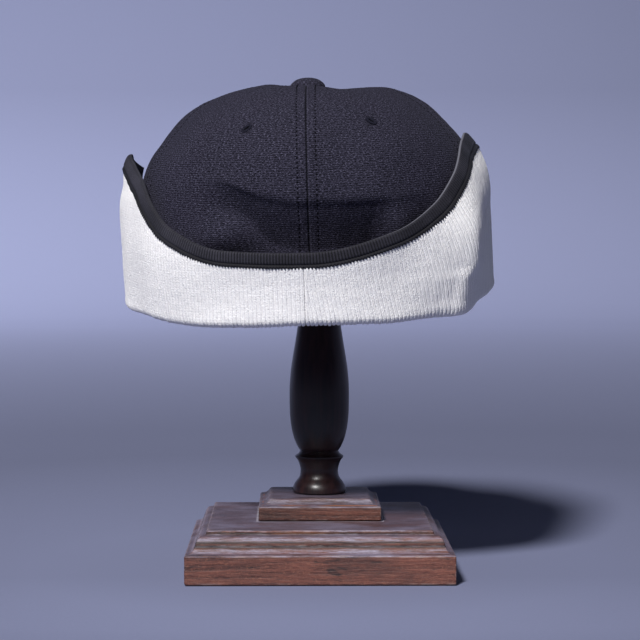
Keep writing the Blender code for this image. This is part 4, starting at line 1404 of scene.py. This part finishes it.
def make_tape():
    flat, at, corners, scale = tape_path()
    ahead = np.empty_like(flat)
    ahead[1:-1] = flat[2:] - flat[:-2]
    ahead[0], ahead[-1] = flat[1] - flat[0], flat[-1] - flat[-2]
    ahead = unit(ahead)
    limit, stretches = np.full(len(flat), 99.0), np.ones(len(flat))
    for corner in corners:
        k = int(np.argmin(np.abs(at - corner)))
        before, after = unit(flat[k] - flat[k - 3]), unit(flat[k + 3] - flat[k])
        turning = math.acos(float(np.clip(before @ after, -1, 1)))
        half = (math.pi - turning) / 2
        away = np.abs(at - corner)
        side = np.where((at < corner)[:, None], before, after)
        ahead = np.where((away < 14.0)[:, None], side, ahead)
        middle = unit(before + after)
        ahead[k] = middle
        limit = np.minimum(limit, np.where(away < 1e-6, 99.0, away * math.tan(half)))
        limit = np.where(away < 1e-6, 99.0, limit)
        stretches = stretches * np.where(away < 1e-6, 1 / math.sin(half), 1.0)
    inward = np.stack([ahead[:, 1], -ahead[:, 0]], -1)
    azimuth = flat[:, 0] / scale
    strong = 1 - 0.65 * ease(18.0, 34.0, azimuth)
    wave = np.cos(math.tau * at / TAPE_RIB_PITCH)
    ridge = 0.20 * strong * np.sign(wave) * np.abs(wave) ** 0.7
    zigzag = np.cos(math.tau * at / 1.6 + 0.6 * np.sin(at / 3.1) + 1.1)
    loose = wander(at, 0 * at, 5.0)
    # inset from the free edge, distance outwards, whether that is counted from the
    # knit's outer face, and the shares of the cross ribs and of the bumpy edge
    section = (
        (7.00, 0.28, 1, 0.0, 0.3),
        (7.00, 0.58, 1, 0.0, 1.0),
        (6.80, 0.90, 1, 0.0, 1.0),
        (6.30, 1.04, 1, 0.0, 1.0),
        (5.80, 0.96, 1, 0.0, 0.8),
        (5.42, 0.62, 1, 0.0, 0.3),
        (5.15, 0.26, 1, 0.0, 0.0),
        (4.92, 0.44, 1, 0.3, 0.0),
        (4.60, 0.74, 1, 1.0, 0.0),
        (3.60, 0.84, 1, 1.0, 0.0),
        (2.30, 0.84, 1, 1.0, 0.0),
        (1.10, 0.80, 1, 1.0, 0.0),
        (0.25, 0.70, 1, 1.0, 0.0),
        (-0.20, 0.56, 1, 0.8, 0.0),
        (-0.44, 0.42, 1, 0.6, 0.0),
        (-0.62, 0.24, 1, 0.5, 0.0),
        (-0.80, 0.00, 1, 0.4, 0.0),
        (-0.92, -0.50, 1, 0.2, 0.0),
        (-0.80, -0.10, 0, 0.0, 0.0),
        (-0.42, -0.55, 0, 0.0, 0.0),
        (0.50, -0.80, 0, 0.0, 0.0),
        (3.50, -0.84, 0, 0.0, 0.0),
        (6.80, -0.84, 0, 0.0, 0.0),
        (7.00, -0.58, 0, 0.0, 0.0),
        (6.90, -0.24, 0, 0.0, 0.0),
        (-0.36, -0.24, 0, 0.0, 0.0),
        (-0.36, 0.20, 1, 0.0, 0.0),
        (3.50, 0.20, 1, 0.0, 0.0),
    )
    rings, uvs, lines, ribs, below = [], [], [], [], []
    for inset, outwards, on_knit, ribbed, edged in section:
        bumps = ribbed * ridge + edged * (0.17 * zigzag + 0.08 * loose)
        wide = inset + edged * (0.40 * zigzag * (inset > 5.6) + 0.12 * loose)
        reach = np.clip(wide, -9.0, limit) * stretches
        spot = flat + inward * reach[:, None]
        if on_knit:
            bumps = bumps + knit_outside(np.maximum(np.minimum(inset, limit), 0.0))
        rings.append(flap_point(spot[:, 0] / scale, spot[:, 1], outwards + bumps))
        uvs.append(np.stack([at, np.full(len(at), inset)], -1))
        # Painted highlight along the fold, stronger towards the right.
        lines.append(
            (outwards in (-0.10, -0.50)) * (0.10 + 0.90 * ease(10.0, 34.0, azimuth))
        )
        ribs.append(np.full(len(at), ribbed) * strong)
        below.append(np.full(len(at), float(on_knit and inset > 5.0)))
    points = np.stack(rings, 1)
    count = len(section)
    faces = grid_faces(len(flat), count, closed=True)
    faces.append(list(range(count))[::-1])
    faces.append([(len(flat) - 1) * count + k for k in range(count)])
    piece = mesh_object(
        "binding_tape_ribbed",
        from_cap(points.reshape(-1, 3)),
        faces,
        TAPE,
        np.stack(uvs, 1).reshape(-1, 2),
        {
            "fold_highlight": np.stack(lines, 1).ravel(),
            "ribbed": np.stack(ribs, 1).ravel(),
            "lower_band": np.stack(below, 1).ravel(),
        },
        sharp=60.0,
        weld=0.004,
    )
    show(piece, "tape", "binding_tape")


def make_flap_stitches():
    """The dotted line of the flap's centre back seam."""
    up = np.linspace(3.0, 28.5, 15)
    azimuth = np.full(len(up), FLAP_SEAM)
    fold = flap_value("fold", azimuth)
    line = flap_point(azimuth, fold + up, KNIT_FULL - 0.10)
    a = np.radians(azimuth)
    out = np.stack([np.sin(a), -np.cos(a), 0 * a], -1)
    tangent = unit(np.gradient(line, axis=0))
    points, faces = capsules(line + out * 0.05, tangent, out, 1.05, 0.24, 0.18, 0.2)
    show(mesh_object("flap_seam_stitching", from_cap(np.array(points)), faces, PALE_THREAD), "rib_knit")


# ---------------------------------------------------------------- bill
def bill_point(turn, far, thick):
    """A point of the bill: turn from -1 to 1 along its root, far in mm from its edge."""
    azimuth = 180.0 + BILL_SPREAD * turn
    facing = np.where(azimuth <= 180.0, azimuth, azimuth - 360.0)
    root = crown_radius_at(facing, HEM + 0 * turn) + 0.60
    a = np.radians(azimuth)
    start = np.stack([root * np.sin(a), -root * np.cos(a)], -1)
    out = BILL_REACH * np.maximum(1 - np.abs(turn) ** 2.9, 0) ** 0.52 + 1.2
    tip = start + np.stack([0.07 * start[..., 0] * (1 - turn * turn), out], -1)
    length = np.linalg.norm(tip - start, axis=-1)
    share = 1 - np.minimum(far / length, 1.0)
    flat = start + (tip - start) * share[..., None]
    reach = (flat[..., 1] - start[..., 1]) / BILL_REACH
    height = (
        HEM
        + 3.4
        - BILL_DROOP * reach
        - BILL_ARCH * reach * (flat[..., 0] / CROWN_HALF_WIDTH_LEFT) ** 2 / 0.35 * 0.6
    )
    return np.concatenate([flat, (height - BILL_THICK / 2 + thick)[..., None]], -1), length


BILL_ROWS_AT = (4.0, 10.0, 16.0, 22.0, 28.0, 34.0, 40.0, 46.0)


def make_bill():
    columns = 150
    turn = np.sin(np.linspace(-math.pi / 2, math.pi / 2, columns)) * 0.15 + np.linspace(-1, 1, columns) * 0.85
    edge = [0.0, 0.06, 0.2, 0.45, 0.8, 1.2, 1.6]
    _, length = bill_point(turn, np.zeros(columns), 0.0)
    inner_rows = 46
    far = np.concatenate(
        [
            np.minimum(np.array(edge)[:, None], length[None, :] * np.linspace(0, 0.4, len(edge))[:, None] + 0 * turn),
            np.minimum(1.6, 0.4 * length)[None, :]
            + (length - np.minimum(1.6, 0.4 * length))[None, :]
            * (np.arange(1, inner_rows + 1) / inner_rows)[:, None],
        ]
    )
    grid_turn = np.repeat(turn[None, :], len(far), 0)
    half = BILL_THICK / 2
    round_ = np.minimum(1.6, 0.4 * length)[None, :]
    thick = half * np.sqrt(np.maximum(1 - (1 - np.minimum(far / round_, 1.0)) ** 2, 0))
    dip = np.zeros(far.shape)
    for row in BILL_ROWS_AT:
        dip += 0.30 * hump(far - row, 0.75) * (length[None, :] > row + 4)
    upper, _ = bill_point(grid_turn, far, thick - dip)
    lower, _ = bill_point(grid_turn, far, -thick + dip)
    rows = len(far)
    points = np.concatenate([upper.reshape(-1, 3), lower.reshape(-1, 3)])
    start = rows * columns
    faces = grid_faces(rows, columns)
    faces += [quad[::-1] for quad in grid_faces(rows, columns, start)]
    for k in (0, columns - 1):
        for i in range(rows - 1):
            faces.append([i * columns + k, (i + 1) * columns + k, start + (i + 1) * columns + k, start + i * columns + k])
    for j in range(columns - 1):
        i = rows - 1
        faces.append([i * columns + j, i * columns + j + 1, start + i * columns + j + 1, start + i * columns + j])
    uv = points[:, :2] + np.array([1500.0, 0.0])
    piece = mesh_object("bill_cloth", from_cap(points), faces, CLOTH, uv, sharp=70.0, weld=0.01)
    show(piece, "crown_cloth", "bill")
    points, faces = [], []
    fine = np.linspace(-0.995, 0.995, 900)
    for row in BILL_ROWS_AT:
        for sign in (1, -1):
            line, length = bill_point(fine, np.full(len(fine), row), sign * (half - 0.26))
            keep = length > row + 4
            line = line[keep]
            at = even_places(line, STITCH_PITCH, 0.5, 0.0)
            i = np.clip(np.round(at).astype(int), 0, len(line) - 1)
            tangent = unit(np.gradient(line, axis=0))
            up = np.repeat([[0.0, 0.0, float(sign)]], len(line), 0)
            out = unit(up - tangent * (up * tangent).sum(-1, keepdims=True))
            more, made = capsules(line[i] + out[i] * 0.08, tangent[i], out[i], STITCH_LENGTH, 0.25, 0.18, 0.3, 5, 5)
            faces += [[k + len(points) for k in face] for face in made]
            points += more
    show(mesh_object("bill_stitching", from_cap(np.array(points)), faces, THREAD), "crown_cloth")


# ---------------------------------------------------------------- stand
def fine_profile(rows, spacing):
    """A profile's rows, with curves between creases. Returns (out, height, crease)."""
    out, height = column(rows, STEP_COLUMNS, "half_side"), column(rows, STEP_COLUMNS, "height")
    crease = column(rows, STEP_COLUMNS, "crease")
    made = []
    ends = [i for i in range(len(rows)) if crease[i]]
    for low, high in zip(ends[:-1], ends[1:]):
        p = np.stack([out[low : high + 1], height[low : high + 1]], -1)
        along = np.concatenate([[0.0], np.cumsum(np.linalg.norm(np.diff(p, axis=0), axis=1))])
        steps = max(1, int(math.ceil(along[-1] / spacing)))
        at = np.linspace(0.0, along[-1], steps + 1)
        if len(p) == 2:
            curve = np.stack([np.interp(at, along, p[:, k]) for k in (0, 1)], -1)
        else:
            curve = np.stack([through_points(along, p[:, k], at) for k in (0, 1)], -1)
        for k, point in enumerate(curve[:-1]):
            made.append((point[0], point[1], 1.0 if k == 0 else 0.0))
    made.append((out[-1], height[-1], 1.0))
    return np.array(made)


def through_points(xs, ys, x):
    """A Catmull-Rom curve through the points, read at x."""
    slope = np.gradient(ys, xs)
    i = np.clip(np.searchsorted(xs, x, "right") - 1, 0, len(xs) - 2)
    step = xs[i + 1] - xs[i]
    s = (x - xs[i]) / step
    return (
        (1 + 2 * s) * (1 - s) ** 2 * ys[i]
        + s * (1 - s) ** 2 * step * slope[i]
        + s * s * (3 - 2 * s) * ys[i + 1]
        + s * s * (s - 1) * step * slope[i + 1]
    )


def square_ring(half, corner, count):
    """A square's outline with slightly rounded corners, as x, y and the corner weight."""
    points = []
    for turn in range(4):
        a = turn * math.pi / 2
        c, s = round(math.cos(a)), round(math.sin(a))
        line = [(half, y, 0.0) for y in np.linspace(-(half - corner), half - corner, count)]
        arc = [
            (
                half - corner + corner * math.cos(w),
                half - corner + corner * math.sin(w),
                1.0,
            )
            for w in np.linspace(0, math.pi / 2, 6)[1:-1]
        ]
        for x, y, k in line + arc:
            points.append((x * c - y * s, x * s + y * c, k))
    return np.array(points)


def make_plinth(name, rows, centre, slot, seed, bands, fillets):
    """A square moulding with softened, slightly worn edges."""
    profile = fine_profile(rows, 0.42)
    count = 90 if rows is LOWER else 60
    rings, edges, band, lines = [], [], [], []
    for k, (half, height, crease) in enumerate(profile):
        ring = square_ring(half, 0.7, count)
        x, y = ring[:, 0], ring[:, 1]
        rough = 0.05 * wander(x + seed, y + height * 9, 9.0) + 0.04 * wander(x + seed, y + height * 17, 2.5)
        chip = crease * 0.10 * np.maximum(wander(x * 1.3 + seed, y * 1.3 + height * 31, 3.0), 0)
        away = np.stack([np.sign(x) * (np.abs(x) > half - 1.0), np.sign(y) * (np.abs(y) > half - 1.0)], -1)
        moved = ring[:, :2] + away * (rough * (height > 0.6) - chip)[:, None]
        high = height + (0.03 * wander(x + 50, y + seed, 14.0) - 0.5 * chip) * (height > 0.6)
        rings.append(np.stack([moved[:, 0], moved[:, 1], high + 0 * x], -1))
        near = np.abs(profile[:, 1] - height) + 0.5 * np.abs(profile[:, 0] - half)
        close = (hump(near, 0.34) * profile[:, 2]).max()
        edges.append(np.maximum(close * (height > 0.6), 0.75 * ring[:, 2]) + 0 * x)
        inside = max((1.0 for low, high_ in bands if low <= height <= high_), default=0.0)
        band.append(np.full(len(x), inside))
        # Painted shade for the line attribute: along the foot of each square and in its fillets.
        foot = float(height < 0.5 and rows is LOWER) + float(height < 28.3 and rows is UPPER)
        strength = np.clip(0.75 + 0.6 * wander(x + seed, y + seed, 6.0), 0.0, 1.0)
        dark = 0.0
        for place, width, share in fillets:
            dark = max(dark, share * float(hump(height - place, width)))
        strength_here = np.clip(0.95 + 0.4 * wander(x * 0.7 + height * 11, y * 0.7 + seed, 5.0), 0.3, 1.0)
        lines.append(np.maximum(foot * strength, dark * strength_here))
    points = np.stack(rings)
    sides = points.shape[1]
    faces = grid_faces(len(profile), sides, closed=True)
    points = points.reshape(-1, 3)
    edges, band, lines = np.concatenate(edges), np.concatenate(band), np.concatenate(lines)
    # The top face, as rings that shrink to a point, so that it can be a little uneven.
    half, height = profile[-1, 0], profile[-1, 1]
    start = (len(profile) - 1) * sides
    for share in (0.97, 0.85, 0.6, 0.3):
        ring = square_ring(half, 0.7, count)[:, :2] * share
        high = height + 0.03 * wander(ring[:, 0] + 50, ring[:, 1] + seed, 14.0)
        here = len(points)
        points = np.concatenate([points, np.stack([ring[:, 0], ring[:, 1], high], -1)])
        edges = np.concatenate([edges, np.zeros(sides)])
        band = np.concatenate([band, np.zeros(sides)])
        lines = np.concatenate([lines, np.zeros(sides)])
        for k in range(sides):
            m = (k + 1) % sides
            faces.append([start + k, start + m, here + m, here + k])
        start = here
    faces.append([start + k for k in range(sides)])
    faces.append(list(range(sides))[::-1])
    points = points + np.array([centre[0], centre[1], 0.0])
    piece = mesh_object(name + "_wood", points, faces, WOOD, values={"edge": edges, "band": band, "line": lines}, sharp=28.0)
    show(piece, slot, name)


def make_post():
    profile = fine_profile(POST, 0.9)
    sides = 96
    turn = np.arange(sides) * math.tau / sides
    points = np.concatenate(
        [
            np.stack(
                [
                    STAND_X + out * np.cos(turn),
                    STAND_Y + out * np.sin(turn),
                    np.full(sides, height),
                ],
                -1,
            )
            for out, height, _ in profile
        ]
    )
    faces = grid_faces(len(profile), sides, closed=True)
    faces.append(list(range(sides))[::-1])
    faces.append([(len(profile) - 1) * sides + k for k in range(sides)])
    piece = mesh_object("stand_post_turned", points, faces, POST_WOOD, sharp=35.0)
    show(piece, "post_wood", "stand_post")


# ---------------------------------------------------------------- stage
def make_stage():
    """A paper floor that lifts a little behind the stand and curves up into a wall."""
    sides = 128
    rows = [(0.16, 0.0)]
    for radius in (0.19, 0.22, 0.25, 0.28, 0.31, 0.34, 0.37, 0.40, 0.43, 0.46, 0.49, 0.52, 0.55, 0.6, 0.7, 1.2, 2.6):
        rows.append((radius, FLOOR_LIFT * float(ease(0.17, 0.55, radius))))
    for k in range(1, 13):
        w = math.pi / 2 * k / 12
        rows.append(
            (
                2.6 + (WALL_RADIUS - 2.6) * math.sin(w),
                FLOOR_LIFT + (WALL_RADIUS - 2.6) * (1 - math.cos(w)),
            )
        )
    rows.append((WALL_RADIUS, WALL_HEIGHT))
    points, faces = [(0.0, 0.0, 0.0)], []
    for radius, height in rows:
        for k in range(sides):
            w = math.tau * k / sides
            points.append((radius * math.cos(w), radius * math.sin(w), height))
    for k in range(sides):
        faces.append([0, 1 + k, 1 + (k + 1) % sides])
    faces += [quad[::-1] for quad in grid_faces(len(rows), sides, 1, closed=True)]
    mesh = bpy.data.meshes.new("stage_floor")
    mesh.from_pydata(points, [], faces)
    mesh.materials.append(PAPER)
    mesh.shade_smooth()
    floor = bpy.data.objects.new("stage_floor", mesh)
    bpy.context.scene.collection.objects.link(floor)


def make_light_and_camera():
    scene = bpy.context.scene
    scene.view_settings.view_transform = "Standard"
    world = bpy.data.worlds.new("studio")
    world.use_nodes = True
    world.node_tree.nodes["Background"].inputs[0].default_value = (0.62, 0.70, 1.0, 1.0)
    world.node_tree.nodes["Background"].inputs[1].default_value = 0.060
    scene.world = world
    suns = (
        ("key", 4.65, 9.0, (0.272, 0.679, -0.682), (1.0, 0.985, 0.985)),
        ("fill", 1.20, 50.0, (0.0, 0.981, -0.19), (0.97, 0.98, 1.0)),
    )
    for name, energy, angle, travel, tint in suns:
        sun = bpy.data.lights.new(name, "SUN")
        sun.energy = energy
        sun.angle = math.radians(angle)
        sun.color = tint
        lamp = bpy.data.objects.new(name, sun)
        lamp.rotation_euler = Vector(travel).to_track_quat("-Z", "Y").to_euler()
        scene.collection.objects.link(lamp)
    camera = bpy.data.objects.new("camera", bpy.data.cameras.new("camera"))
    camera.data.lens = 118.24
    camera.data.sensor_width = 36.0
    camera.data.clip_end = 50.0
    camera.data.dof.use_dof = False
    camera.location = (-0.01365, -1.16245, 0.18293)
    camera.rotation_euler = (math.radians(90 - 2.292), 0.0, math.radians(-0.707))
    scene.collection.objects.link(camera)
    scene.camera = camera


make_light_and_camera()
make_stage()
make_crown()
make_crown_stitches()
make_eyelets()
make_button()
make_flap("ear_flap_left", -FLAP_END, FLAP_SEAM - 0.05)
make_flap("ear_flap_right", FLAP_SEAM + 0.05, FLAP_END)
make_flap_stitches()
make_tape()
make_bill()
make_plinth("plinth_lower", LOWER, (0.0, 0.0), "plinth_wood", 0.0, ((26.0, 27.2),), ((20.0, 0.75, 1.0), (22.1, 0.60, 1.0), (26.2, 0.65, 0.85)))
make_plinth("plinth_upper", UPPER, (STAND_X, STAND_Y), "plinth_wood", 300.0, ((35.9, 36.2),), ((37.2, 0.5, 0.3),))
make_post()
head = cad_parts["stand_head"]
head.data.materials.clear()
head.data.materials.append(PLAIN_WOOD)
